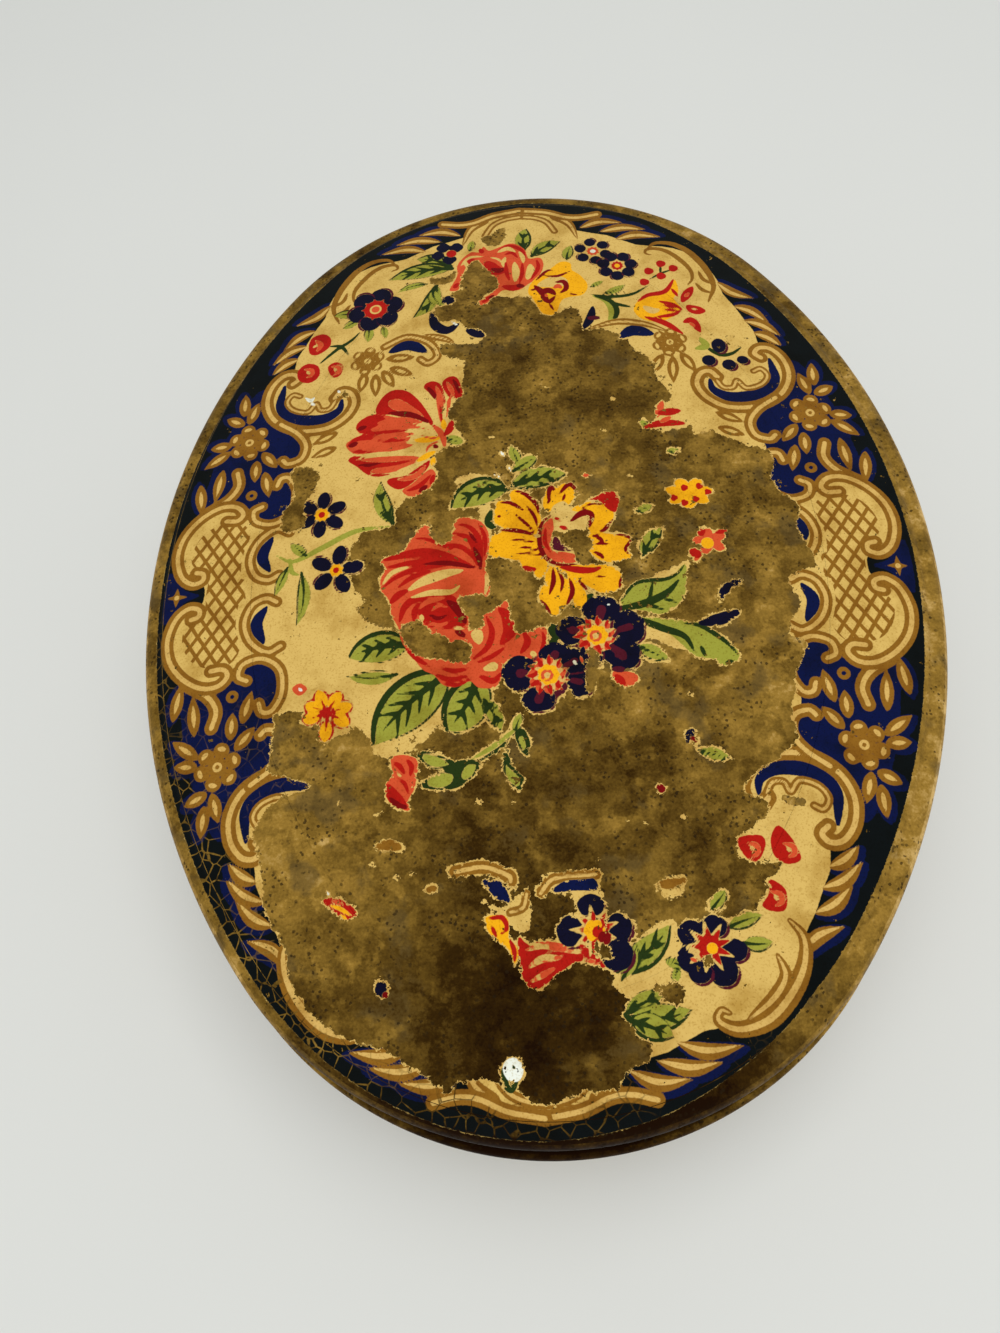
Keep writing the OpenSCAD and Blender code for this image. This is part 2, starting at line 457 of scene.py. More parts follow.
@dataclass(frozen=True)
class Brass:
    """Bare old brass: clouds, blots and smears of tarnish, grey stains, dark pits and a fine grain."""

    shades: Sequence[tuple[float, Colour]] = (
        (0.0, tone(34, 16, 3)),
        (0.2, tone(66, 44, 9)),
        (0.4, tone(110, 82, 28)),
        (0.55, tone(142, 109, 42)),
        (0.75, tone(178, 138, 58)),
        (1.0, tone(228, 188, 112)),
    )
    pit_tone: Colour = tone(36, 25, 10)
    grey_tone: Colour = tone(88, 74, 46)
    cloud: Clouds = Clouds(15.0, 2, 0.5)
    blot: Clouds = Clouds(5.0, 5, 0.58, 3)
    smear: Clouds = Clouds(0.9, 3, 0.55, 7, 5.0)
    grain: Clouds = Clouds(0.4, 2, 0.6, 5)
    gold: Clouds = Clouds(4.4, 4, 0.55, 14)
    patch: Clouds = Clouds(3.4, 6, 0.62, 21)
    grey: Clouds = Clouds(6.5, 4, 0.55, 9)
    pitted: Clouds = Clouds(5.0, 3, 0.6, 8)
    pit: float = 0.85
    middle: float = 0.505
    cloud_share: float = 0.5
    blot_share: float = 0.62
    patch_share: float = 0.14
    smear_share: float = 0.2
    grain_share: float = 0.36
    gold_share: float = 0.18
    grey_share: float = 0.5
    pit_share: float = 0.8

    def look(self, graph: Graph, rub: Sock) -> Look:
        """Look of the metal.

        Args:
            graph: the material's graph.
            rub: how far it is rubbed bright (above 0) or tarnished (below 0); on the lid it also carries
                painted shade and highlight.

        Returns:
            The look.
        """
        cloud, blot = graph.swing(self.cloud), graph.swing(self.blot)
        smear, grain = graph.swing(self.smear), graph.swing(self.grain)
        gold = graph.noise(self.gold).rise(0.56, 0.7)
        patch = graph.noise(self.patch).rise(0.46, 0.56) - 0.5
        mottle = cloud * self.cloud_share + blot * self.blot_share + patch * self.patch_share
        mottle = mottle + smear * self.smear_share + grain * self.grain_share + gold * self.gold_share
        calm = (rub * 0.9 + 1).least(1.0)
        shade = mottle * calm + rub + self.middle
        colour = graph.node("ShaderNodeValToRGB", {"stops": self.shades}, {"Fac": shade})
        grey = graph.noise(self.grey).rise(0.54, 0.66) * self.grey_share
        colour = graph.mix(grey * (1 - gold) * shade.rise(0.2, 0.45), colour, self.grey_tone)
        pitted = graph.noise(self.pitted).rise(0.43, 0.58)
        pits = (graph.cells(self.pit) + grain * 0.5).rise(0.32, 0.22) * pitted
        colour = graph.mix(pits * self.pit_share, colour, self.pit_tone)
        rough = 0.62 - shade * 0.22 + pits * 0.2
        metal = 0.6 - pits * 0.4
        return Look(colour, rough, metal, blot * 0.4 + grain * 0.2 - pits * 0.5)


@dataclass(frozen=True)
class BareShell:
    """Finish of the lid's rim and skirt: brass, rubbed bright where hands and tables wear it, with painted
    shade and highlight carried in its rub.
    """

    brass: Brass = Brass()
    scuff: Clouds = Clouds(2.2, 5, 0.65, 11)
    scuff_share: float = 0.35
    relief: float = 0.03
    gloss: float = 0.05

    def material(self) -> bpy.types.Material:
        """Makes the material; the mesh stores rub, which is high on edges and rolls and holds the rim's
        painted shade and highlight.
        """
        graph = Graph("rubbed_brass")
        rub = graph.stored("rub") + graph.swing(self.scuff) * self.scuff_share
        return graph.finish(self.brass.look(graph, rub), self.relief, self.gloss)


@dataclass(frozen=True)
class GoldLacquer:
    """Finish of the box itself: thin gold lacquer over the sheet, with scuffs and brown stains."""

    lacquer: Colour = tone(168, 131, 60)
    thin: Colour = tone(128, 97, 42)
    stain: Colour = tone(74, 52, 22)
    brass: Brass = Brass()
    cloud: Clouds = Clouds(24, 4, 0.6, 2)
    fleck: Clouds = Clouds(1.1, 4, 0.7, 4)
    wear: Clouds = Clouds(4.5, 6, 0.7, 6)
    rub_share: float = 0.55
    relief: float = 0.025

    def material(self) -> bpy.types.Material:
        """Makes the material; the mesh stores rub, which is high on folds and seams."""
        graph = Graph("gold_lacquer")
        rub = graph.stored("rub")
        bare = self.brass.look(graph, rub)
        cloud = graph.noise(self.cloud)
        fleck = graph.noise(self.fleck).rise(0.64, 0.74)
        worn = (graph.noise(self.wear) + rub * self.rub_share).rise(0.56, 0.68)
        colour = graph.mix(cloud.rise(0.3, 0.72), self.thin, self.lacquer)
        colour = graph.mix(fleck * 0.7, colour, self.stain)
        colour = graph.mix(worn, colour, bare.colour)
        rough = graph.between(worn, cloud * 0.2 + 0.26, bare.roughness)
        metal = graph.between(worn, 0.82 - fleck * 0.4, bare.metal)
        return graph.finish(Look(colour, rough, metal, bare.height - worn * 0.3), self.relief)


class Ink(Enum):
    """Printing inks in the order in which they are laid, each with its tone."""

    DARK = (6, 11, 12)
    BLUE = (6, 16, 60)
    CREAM = (211, 176, 96)
    OCHRE = (138, 94, 26)
    PALE = (208, 170, 94)
    LEAF = (150, 150, 54)
    GREEN = (34, 50, 14)
    YELLOW = (235, 168, 16)
    CORAL = (205, 78, 42)
    RED = (172, 22, 12)
    CRIMSON = (116, 6, 8)
    NAVY = (10, 9, 34)
    PURPLE = (78, 18, 34)
    WHITE = (232, 236, 224)

    @property
    def stored(self) -> str:
        """Name under which a mesh stores the depth inside this ink."""
        return f"ink_{self.name.lower()}"

    @property
    def colour(self) -> Colour:
        """Linear colour of the ink."""
        return tone(*self.value)

    @property
    def above(self) -> list[Ink]:
        """Inks that are laid later."""
        inks = list(Ink)
        return inks[inks.index(self) + 1 :]


@dataclass(frozen=True)
class PrintedCoat:
    """Finish of the lid's print: inks over a pale coat, chipped down to the brass."""

    brass: Brass = Brass()
    stain: Colour = tone(206, 190, 150)
    fine: Clouds = Clouds(0.42, 2, 0.6, 13)
    ragged: Clouds = Clouds(1.6, 5, 0.68, 17)
    age: Clouds = Clouds(5.5, 5, 0.6, 19)
    stipple: Clouds = Clouds(0.3, 2, 0.5, 23)
    fleck: Clouds = Clouds(1.3, 3, 0.7, 29)
    flecked: Clouds = Clouds(9.0, 2, 0.5, 31)
    bleach: Clouds = Clouds(0.9, 3, 0.6, 37)
    drift: Clouds = Clouds(14, 2)
    waver: Clouds = Clouds(1.2, 2)
    ground_rough: float = 0.34
    ink_rough: float = 0.16
    ink_edge: float = 0.07
    coat_edge: float = 0.03
    halo: float = 0.1
    crackle: float = 2.2
    crack_corner: tuple[float, float] = (-5.5, -6.2)
    lattice_across: float = 2.35
    lattice_along: float = 3.35
    lattice_line: float = 0.6
    relief: float = 0.04
    gloss: float = 0.08

    def material(self) -> bpy.types.Material:
        """Makes the material.

        The mesh stores the depth inside each ink, the depth of coat left and the tarnished tone with its
        painted shade, in millimetres. An ink shows where its depth, broken up by a fine noise, is above 0.
        The coat is chipped to the brass where what is left of it falls below 0, and the pale coat shows
        without ink in a halo round each chip.
        """
        graph = Graph("worn_print")
        # The bare brass takes the stored tone: tarnished metal, painted shade darker towards the bottom,
        # and the rim's painted highlight.
        bare = self.brass.look(graph, graph.stored("tarnish_and_shade"))
        fine, ragged = graph.swing(self.fine), graph.swing(self.ragged)
        age = graph.noise(self.age)
        left = graph.stored("coat_left") + ragged * 2.2 + fine
        coat = self._coat(graph, left, fine, ragged)
        inked = (left + graph.swing(self.bleach) * 0.9).rise(self.halo, self.halo + 0.1)
        pale = graph.mix(age.rise(0.3, 0.7), Ink.CREAM.colour, Ink.PALE.colour)
        colour = graph.mix(inked, pale, self._inks(graph, fine))
        colour = graph.darken(age.rise(0.42, 0.75) * 0.8, colour, self.stain)
        colour = graph.darken(graph.noise(self.stipple).rise(0.5, 0.72) * 0.55, colour, self.stain)
        colour = graph.mix(coat, bare.colour, colour)
        rough = graph.between(coat, bare.roughness, 0.34 + age * 0.2)
        metal = graph.between(coat, bare.metal, 0.0)
        height = graph.between(coat, bare.height * 0.5, 1.0 + fine * 0.1)
        return graph.finish(Look(colour, rough, metal, height), self.relief, self.gloss)

    def _inks(self, graph: Graph, fine: Sock) -> Sock:
        """Colour of the inks, each laid over those before it."""
        colour = Ink.CREAM.colour
        for ink in Ink:
            rough = self.ground_rough if ink in (Ink.DARK, Ink.BLUE) else self.ink_rough
            depth = graph.stored(ink.stored)
            if ink is Ink.OCHRE:
                depth = depth.most(self._lattice(graph))
            mask = (depth + fine * rough).rise(-self.ink_edge, self.ink_edge)
            colour = graph.mix(mask, colour, ink.colour)
        return colour

    def _coat(self, graph: Graph, left: Sock, fine: Sock, ragged: Sock) -> Sock:
        """Share of coat: 0 outside the print, where it is worn, in flecks and along cracks."""
        printed = (graph.stored(Ink.DARK.stored) + fine * 0.5 + ragged * 0.5).rise(-0.05, 0.05)
        flecked = graph.noise(self.flecked).rise(0.45, 0.7) + left.rise(3.2, 0.4) * 0.8
        chip = (graph.noise(self.fleck) + flecked * 0.06).rise(0.705, 0.725)
        whole = left.rise(-self.coat_edge, self.coat_edge) * printed
        return whole * (1 - chip) * (1 - self._cracks(graph))

    def _lattice(self, graph: Graph) -> Sock:
        """Depth inside two crossing sets of lines, cut off where the stored lattice area ends."""
        x, y = graph.plan()
        across, along = x * (1 / self.lattice_across / MM), y * (1 / self.lattice_along / MM)
        gap = 1 / math.hypot(1 / self.lattice_across, 1 / self.lattice_along)
        near = (across + along).off_whole().least((across - along).off_whole())
        return (self.lattice_line / 2 - near * gap).least(graph.stored("lattice"))

    def _cracks(self, graph: Graph) -> Sock:
        """Crackle of the dark band, which opens towards the lower left."""
        x, y = graph.plan()
        across, along = self.crack_corner
        corner = (x * across + y * along + graph.swing(self.drift) * 0.5).rise(0.3, 0.55)
        band = graph.stored(Ink.CREAM.stored).rise(-0.4, -1.6)
        line = graph.cells(self.crackle, "DISTANCE_TO_EDGE") + graph.swing(self.waver) * 0.08
        faint = graph.stored(Ink.BLUE.stored).rise(0.2, -0.3) * 0.5 + 0.3
        return line.rise(0.05, 0.015) * corner * band * faint


class Nib(Enum):
    """How a stroke's width runs from its start to its end."""

    EVEN = "even"
    BRUSH = "brush"
    COMMA = "comma"
    LEAF = "leaf"

    def share(self, s: np.ndarray) -> np.ndarray:
        """Share of the full width at each place s, from 0 to 1."""
        if self is Nib.EVEN:
            return np.ones_like(s)
        if self is Nib.BRUSH:
            return 0.25 + 0.75 * np.sin(np.pi * s) ** 0.8
        if self is Nib.COMMA:
            return 0.12 + 0.88 * (1 - s) ** 0.75
        return np.sin(np.pi * s**0.85) ** 1.05


@dataclass(frozen=True)
class Place:
    """How a part of the drawing is laid on the lid: mirrored, turned and moved."""

    flip_x: int = 1
    flip_y: int = 1
    turn: float = 0.0
    move: tuple[float, float] = (0.0, 0.0)
    pull: float = 0.0
    pull_from: float = 50.0
    pull_over: float = 28.0

    def put(self, points: Path | np.ndarray) -> np.ndarray:
        """Points on the lid, (N, 2). The far ends are pulled in by pull."""
        p = np.array(points, float).reshape(-1, 2)
        far = np.clip((np.abs(p[:, 1]) - self.pull_from) / self.pull_over, 0, 1)
        x, y = p[:, 0] * self.flip_x, (p[:, 1] - self.pull * far) * self.flip_y
        c, s = math.cos(self.turn), math.sin(self.turn)
        return np.stack([c * x - s * y + self.move[0], s * x + c * y + self.move[1]], -1)


def in_parts(depth: Depth, x: np.ndarray, y: np.ndarray, most: int = 6000) -> np.ndarray:
    """Runs a depth function over many points in pieces of about the most it takes, to bound its memory."""
    pieces = max(1, len(x) // most)
    pairs = zip(np.array_split(x, pieces), np.array_split(y, pieces))
    return np.concatenate([depth(*pair) for pair in pairs])


def line_depth(x: np.ndarray, y: np.ndarray, line: np.ndarray, half: np.ndarray) -> np.ndarray:
    """Depth inside a line of varying half width: the half width less the distance to the line."""
    start, run = line[:-1], np.diff(line, axis=0)
    dx, dy = x[:, None] - start[:, 0], y[:, None] - start[:, 1]
    t = np.clip((dx * run[:, 0] + dy * run[:, 1]) / np.maximum((run**2).sum(1), 1e-9), 0, 1)
    away = np.hypot(dx - t * run[:, 0], dy - t * run[:, 1])
    return (half[:-1] + t * np.diff(half) - away).max(1)


def area_depth(x: np.ndarray, y: np.ndarray, ring: np.ndarray) -> np.ndarray:
    """Depth inside a closed outline: the distance to it, negative outside by the crossing rule."""
    closed = np.concatenate([ring, ring[:1]])
    away = -line_depth(x, y, closed, np.zeros(len(closed)))
    x0, y0 = closed[:-1].T
    x1, y1 = closed[1:].T
    spans = (y0 > y[:, None]) != (y1 > y[:, None])
    rise = np.where(y1 == y0, 1e-9, y1 - y0)
    left = x[:, None] < (x1 - x0) * (y[:, None] - y0) / rise + x0
    return np.where((spans & left).sum(1) % 2 == 1, away, -away)


@dataclass
class Canvas:
    """Ink depths at the vertices of a printed piece."""

    x: np.ndarray
    y: np.ndarray
    ink: dict[Ink, np.ndarray] = field(default_factory=dict)
    kept: np.ndarray | None = None
    place: Place = Place()
    bare: float = -6.0
    margin: float = 1.5

    def __post_init__(self) -> None:
        """Starts with no ink anywhere."""
        if self.kept is None:
            self.kept = np.full(len(self.x), self.bare)
            self.ink = {ink: np.full(len(self.x), self.bare) for ink in Ink}

    def at(self, place: Place) -> Canvas:
        """The same canvas with another placing of what is drawn."""
        return replace(self, place=place)

    def lay(self, ink: Ink, rim: np.ndarray, depth: Depth, kept: bool) -> None:
        """Lays a shape: it joins its ink and is cut out of the inks above.

        Args:
            ink: the ink.
            rim: points that bound the shape, on the lid.
            depth: function of x and y that gives the depth inside the shape.
            kept: whether the coat holds on here where it is worn all round.
        """
        low, high = rim.min(0) - self.margin, rim.max(0) + self.margin
        inside = (self.x > low[0]) & (self.x < high[0]) & (self.y > low[1]) & (self.y < high[1])
        near = np.flatnonzero(inside)
        if not near.size:
            return
        deep = in_parts(depth, self.x[near], self.y[near])
        self.ink[ink][near] = np.maximum(self.ink[ink][near], deep)
        for over in ink.above:
            self.ink[over][near] = np.minimum(self.ink[over][near], -deep)
        if kept:
            self.kept[near] = np.maximum(self.kept[near], deep)

    def stroke(
        self, ink: Ink, points: Path, width: float, nib: Nib = Nib.EVEN, kept: bool = True
    ) -> None:
        """Lays a brush stroke along a smooth line through points."""
        line = smooth(self.place.put(points))
        run = np.concatenate([[0], np.cumsum(np.hypot(*np.diff(line, axis=0).T))])
        half = nib.share(run / run[-1]) * width / 2
        rim = np.concatenate([line - width / 2, line + width / 2])
        self.lay(ink, rim, lambda x, y: line_depth(x, y, line, half), kept)

    def fill(self, ink: Ink, points: Path, kept: bool = True, per: int = 4) -> None:
        """Lays an area inside a smooth closed outline."""
        ring = smooth(self.place.put(points), True, per)
        self.lay(ink, ring, lambda x, y: area_depth(x, y, ring), kept)

    def inside(self, points: Path, per: int) -> np.ndarray:
        """Depth inside a smooth closed outline at each vertex."""
        ring = smooth(self.place.put(points), True, per)
        return in_parts(lambda x, y: area_depth(x, y, ring), self.x, self.y)

    def paint(self, sheet: str) -> None:
        """Lays marks in turn: brush strokes of a width, or areas where the width is 0.

        Args:
            sheet: the marks, with semicolons between them. A mark is its ink's name, which is left out
                where it is the last mark's, its width and its points.
        """
        ink = Ink.CREAM
        for mark in sheet.split(";"):
            words = mark.split()
            if words[0].isalpha():
                ink = Ink[words.pop(0).upper()]
            width, points = float(words[0]), path(" ".join(words[1:]))
            if width:
                self.stroke(ink, points, width, Nib.BRUSH)
            else:
                self.fill(ink, points)

    def bloom(
        self,
        ink: Ink,
        middle: tuple[float, float],
        radius: float,
        petals: int = 0,
        cut: float = 0.0,
        turn: float = 0.0,
        tall: float = 1.0,
        kept: bool = True,
    ) -> None:
        """Lays a round or petalled area.

        Its radius swells at each petal: radius times (1 - cut + cut |cos(petals angle / 2)|).

        Args:
            ink: the ink.
            middle: its middle, before placing.
            radius: its radius.
            petals: number of petals.
            cut: depth of the notches between petals, as a share.
            turn: angle of the first petal in degrees.
            tall: height over width.
            kept: whether the coat holds on here.
        """
        centre = self.place.put([middle])[0]

        def depth(x: np.ndarray, y: np.ndarray) -> np.ndarray:
            """Swelled radius less the distance from the middle."""
            dx, dy = x - centre[0], (y - centre[1]) / tall
            angle = np.arctan2(dy * self.place.flip_y, dx * self.place.flip_x) - math.radians(turn)
            swell = 1 - cut + cut * np.abs(np.cos(petals * angle / 2)) ** 0.7
            return radius * swell - np.hypot(dx, dy)

        reach = radius * max(tall, 1.0)
        self.lay(ink, np.array([centre - reach, centre + reach]), depth, kept)


@dataclass(frozen=True)
class Ornament:
    """The motifs of the print, each drawn on a canvas from a few strokes."""

    light: float = 0.34
    vein: float = 0.85
    veined: float = 2.4
    vein_step: float = 3.6
    bud_fold: Path = path("-0.7,0.8 0.6,0.4 0.7,-0.6 -0.2,-1.1")
    bud_heart: Path = path("-0.2,0.3 0.1,-0.4")

    def scroll(
        self, canvas: Canvas, points: Path, width: float, nib: Nib = Nib.EVEN, kept: bool = False
    ) -> None:
        """Gold scroll: an ochre band with a pale line along it."""
        canvas.stroke(Ink.OCHRE, points, width, nib, kept)
        canvas.stroke(Ink.PALE, points, width * self.light, nib, False)

    def lance(
        self, canvas: Canvas, start: Point, stop: Point, ground: Ink = Ink.PALE, width: float = 2.1
    ) -> None:
        """Narrow gold leaf with a light heart."""
        heart = [np.add(np.multiply(start, 1 - t), np.multiply(stop, t)) for t in (0.2, 0.5, 0.8)]
        canvas.stroke(Ink.OCHRE, [start, heart[1], stop], width, Nib.LEAF, False)
        canvas.stroke(ground, heart, width * self.light, Nib.LEAF, False)

    def gold_flower(self, canvas: Canvas, middle: Point, radius: float, ground: Ink) -> None:
        """Six-petalled gold flower whose petals show a light spot or edge in the ground's ink."""
        angles = np.radians(np.arange(20, 380, 60))
        for angle in angles:
            canvas.bloom(Ink.OCHRE, self._out(middle, angle, radius * 0.66), radius * 0.33, kept=False)
        canvas.bloom(Ink.OCHRE, middle, radius * 0.4, kept=False)
        for angle in angles:
            edge = [self._out(middle, angle + step, radius * 0.74) for step in (-0.22, 0, 0.22)]
            canvas.stroke(ground, edge, radius * 0.2, Nib.BRUSH, False)
        canvas.bloom(ground, middle, radius * 0.2, kept=False)
        canvas.bloom(Ink.OCHRE, middle, radius * 0.09, kept=False)

    @staticmethod
    def _out(middle: Point, angle: float, away: float) -> Point:
        """Point at an angle and a distance from another."""
        return middle[0] + away * math.cos(angle), middle[1] + away * math.sin(angle)

    def leaf(self, canvas: Canvas, base: Point, tip: Point, width: float, bend: float) -> None:
        """Green leaf: dark edge, light face, midrib and veins.

        Args:
            canvas: where it is drawn.
            base: where it starts.
            tip: where it ends.
            width: its width.
            bend: how far its middle bows to the left of the line from base to tip.
        """
        run = np.subtract(tip, base)
        long = float(np.hypot(*run))
        side = np.array([-run[1], run[0]]) / long

        def at(t: float, out: float = 0.0) -> np.ndarray:
            """Point at t along the bowed midrib, moved out to the left."""
            return np.array(base) + run * t + side * (bend * 4 * t * (1 - t) + out)

        edge = [at(t) for t in (0, 0.25, 0.5, 0.75, 1)]
        face = [at(t, width * 0.05) for t in (0.03, 0.3, 0.5, 0.72, 0.97)]
        rib = [at(t) for t in (0, 0.3, 0.6, 0.82)]
        canvas.stroke(Ink.GREEN, edge, width * 1.08, Nib.LEAF)
        canvas.stroke(Ink.LEAF, face, width * 0.88, Nib.LEAF)
        canvas.stroke(Ink.GREEN, rib, min(0.26 * width, 1.3), Nib.COMMA)
        if width <= self.veined:
            return
        for k, t in enumerate(np.linspace(0.16, 0.6, max(2, round(long / self.vein_step)))):
            ahead = t + 0.2 - 0.03 * (k % 2)
            for way in (width, -width):
                vein = [at(t), at(t + 0.07, way * 0.14), at(ahead, way * 0.33)]
                canvas.stroke(Ink.GREEN, vein, self.vein, Nib.COMMA)

    def floret(
        self,
        canvas: Canvas,
        middle: Point,
        petals: int,
        reach: float,
        petal: float,
        turn: float,
        eye: tuple[Ink, Ink],
        size: float,
        lens: bool = False,
    ) -> None:
        """Dark blue flower of round petals, or of lens-shaped ones.

        Args:
            canvas: where it is drawn.
            middle: its middle.
            petals: number of petals.
            reach: distance of a petal's middle from the flower's.
            petal: radius of a petal.
            turn: angle of the first petal in degrees.
            eye: outer and inner ink of its eye.
            size: radius of its eye.
            lens: whether the petals are lens-shaped.
        """
        for angle in np.radians(turn + np.arange(petals) * 360 / petals):
            if lens:
                for ink, step in ((Ink.PURPLE, -0.12), (Ink.NAVY, 0.0)):
                    line = [self._out(middle, angle + step, reach + k * petal * 1.35) for k in (1, 0, -1)]
                    canvas.stroke(ink, line, petal * 1.75, Nib.LEAF)
                continue
            canvas.bloom(Ink.PURPLE, self._out(middle, angle - 0.1, reach + petal * 0.15), petal)
            canvas.bloom(Ink.NAVY, self._out(middle, angle, reach), petal)
        self.rays(canvas, middle, petals + 3, size * 0.5, size * 1.25, eye[0])
        canvas.bloom(eye[0], middle, size)
        canvas.bloom(eye[1], middle, size * 0.52)

    def rays(self, canvas: Canvas, middle: Point, count: int, near: float, far: float, ink: Ink) -> None:
        """Short strokes that point outwards round a middle."""
        for angle in np.linspace(0.3, 0.3 + 2 * math.pi, count, endpoint=False):
            line = [self._out(middle, angle, away) for away in (near, (near + far) / 2, far)]
            canvas.stroke(ink, line, 1.1 * (far - near) ** 0.5 * 0.7, Nib.COMMA)

    def bud(self, canvas: Canvas, outline: Path, heart: Point) -> None:
        """Red bud with a lighter fold round a pale heart."""
        canvas.fill(Ink.RED, outline)
        canvas.stroke(Ink.CORAL, np.add(heart, self.bud_fold), 0.8, Nib.BRUSH)
        canvas.stroke(Ink.PALE, np.add(heart, self.bud_heart), 0.5, Nib.BRUSH)


@dataclass(frozen=True)
class BorderDrawing:
    """Scrollwork round the print, drawn for the upper right quarter and mirrored to the others."""

    motif: Ornament = Ornament()
    turn: float = math.radians(-0.5)
    move: tuple[float, float] = (-0.7, -1.5)
    far_pull: float = 1.8
    fringe: float = 3.0
    fringe_out: float = 0.35
    frond: float = 2.1
    frond_light: float = 0.75
    frond_in: float = 0.15
    panel: Path = path("""
        0,78.2 4,77.4 8,75 10.3,72 16,70.3 21,67.6 25.6,67 29.5,65.6 33,61.8 34.8,58 35.3,55 37,52 38.5,48.6
        39.8,46 40.2,43 42.4,42.4 44.3,39.8 44.6,36.2 42.6,32.6 39,30 37.2,27.5 36.8,25 38.4,23.2 38.8,20.6
        37.7,17.6 38.2,14 40.5,12 41.5,10.8 43.8,8.5 44.6,5.6 44.4,1
    """)
    blue_ground: Path = path("""
        36.5,24 38,29 42.5,32 45,36 44.8,39.4 46.4,39.4 48.6,36 50.6,31.5 52.2,27 53.2,22 54,17.5 53.6,15
        52,16.5 48,16.3 45,12.8 41,11.9 38,14 37.6,18 39,21
    """)
    c_scroll: Path = path("""
        32.4,36.2 31.2,37.5 29.6,36.9 28.9,34.6 30.4,31.8 33.7,29.9 38.5,30.1 42.6,32.6 44.4,36.2 44,39.8
        42.2,42.2 40.2,42.5 39.2,41.3 40.2,40.3
    """)
    c_heart: Path = path("""
        32.3,35.4 33.2,34 34.8,34 35.6,35.4 37,33.8 39.6,34.6 40.8,36.4 39.9,37.9 38.6,37.4
    """)
    s_scroll: Path = path("""
        22.9,66.4 24.4,67.9 27.2,67.8 29.8,66.1 31.8,63.4 33.3,60.2 33.9,56.7 32.6,53.1
    """)
    low_scroll: Path = path("""
        24.4,65.4 23.3,65 22.9,66.4 25.6,67.5 29.7,66.1 33.2,62.2 34.9,58.5 35,55.3 33.4,53
    """)
    s_curl: Path = path("""
        23.6,64.8 22.5,65.3 22.9,66.3 24.8,66.4 26.8,65.4 28.8,63.2 30.2,60.8 30.3,58.6 29.4,57.2
    """)
    lobe: Path = path("""
        49.4,13.3 47.4,13.2 46.6,14.4 48,15.9 50.8,16 54,14.2 56.4,11.2 57.2,7.5 56.2,3.9 54.2,2.2 52.4,2.6
        52.4,3.8 53.6,4.2
    """)
    inner_hook: Path = path("38.4,10 40.6,10.9 43.4,8.9 44.6,5.7 43.6,2.7 41.4,1.6 39.6,2.4")
    outer_hook: Path = path("""
        41.2,19.2 40.6,20.6 39,20.4 37.7,17.6 38.3,13.8 41.2,11.9 44.2,12.6 44.8,14.6 43.4,15.4
    """)
    lobe_ground: Path = path("""
        44.4,-1 44.6,5.6 43.4,8.9 42,11.5 45.2,12.8 46.6,14.2 47.6,15.6 50.5,16.2 54,14.6 56.6,11.3 57.4,7.5
        56.4,3.9 54.3,1.9 52,1.5 51,-1
    """)
    lattice_ground: Path = path("""
        45,-2 45.8,2 46,6 45,10 46.4,12.4 49,13 52.4,11.8 54.4,9 54.6,6 52.8,4 51.4,2 51,-2
    """)
    lances: Sequence[tuple[Point, Point]] = paths("""
        48.4,34.4 48.6,39.4; 47.4,32.6 46,37.2; 48.2,32.6 51.6,34.4; 50.1,28.5 53.9,28.3; 50,27.3 54.6,24.2;
        44.4,26.3 41.5,22.8; 45.2,24.7 45.2,20.3; 43.6,22.3 42.4,17; 51,23.8 51.9,17; 54.8,21.2 53.9,14.8
    """)
    fronds: Sequence[Path] = paths("""
        36.9,52.2 39.8,51 42.6,48.4; 38.2,48.8 41.4,47.8 44.4,45.2; 39.6,46 42,45 44.2,43;
        34.6,58 37,55.4 40.8,54; 17.2,69.1 21.2,70.3 25.9,69.6; 14.5,71.4 19,72.4 23.2,71.7;
        10.9,72.6 14.7,74.2 19.1,73.8
    """)

    def quarters(self) -> list[Place]:
        """The four placings of the quarter."""
        return [Place(fx, fy, self.turn, self.move, self.far_pull if fy < 0 else 0.0)
                for fy in (1, -1) for fx in (1, -1)]

    def draw(self, canvas: Canvas) -> None:
        """Draws the ground, the pale panel and then the gold."""
        quarters = [canvas.at(place) for place in self.quarters()]
        for quarter in quarters:
            self._ground(quarter)
        ends = [quarter.place.put(self.panel) for quarter in quarters]
        outline = np.concatenate([ends[0], ends[2][::-1], ends[3], ends[1][::-1]])
        canvas.fill(Ink.CREAM, outline, False, 2)
        for quarter in quarters:
            self._gold(quarter)
            self._cartouche(quarter)

    def _ground(self, canvas: Canvas) -> None:
        """Blue behind the flowers and in a fringe round every gold leaf."""
        canvas.fill(Ink.BLUE, self.blue_ground, False)
        for line in (*self.lances, *self.fronds):
            canvas.stroke(Ink.BLUE, np.add(line, self.fringe_out), self.fringe, Nib.BRUSH, False)
        canvas.fill(Ink.BLUE, path("58.4,4.6 55.2,1.2 52.6,0 55.2,-1.2 58.4,-4.6"), False)

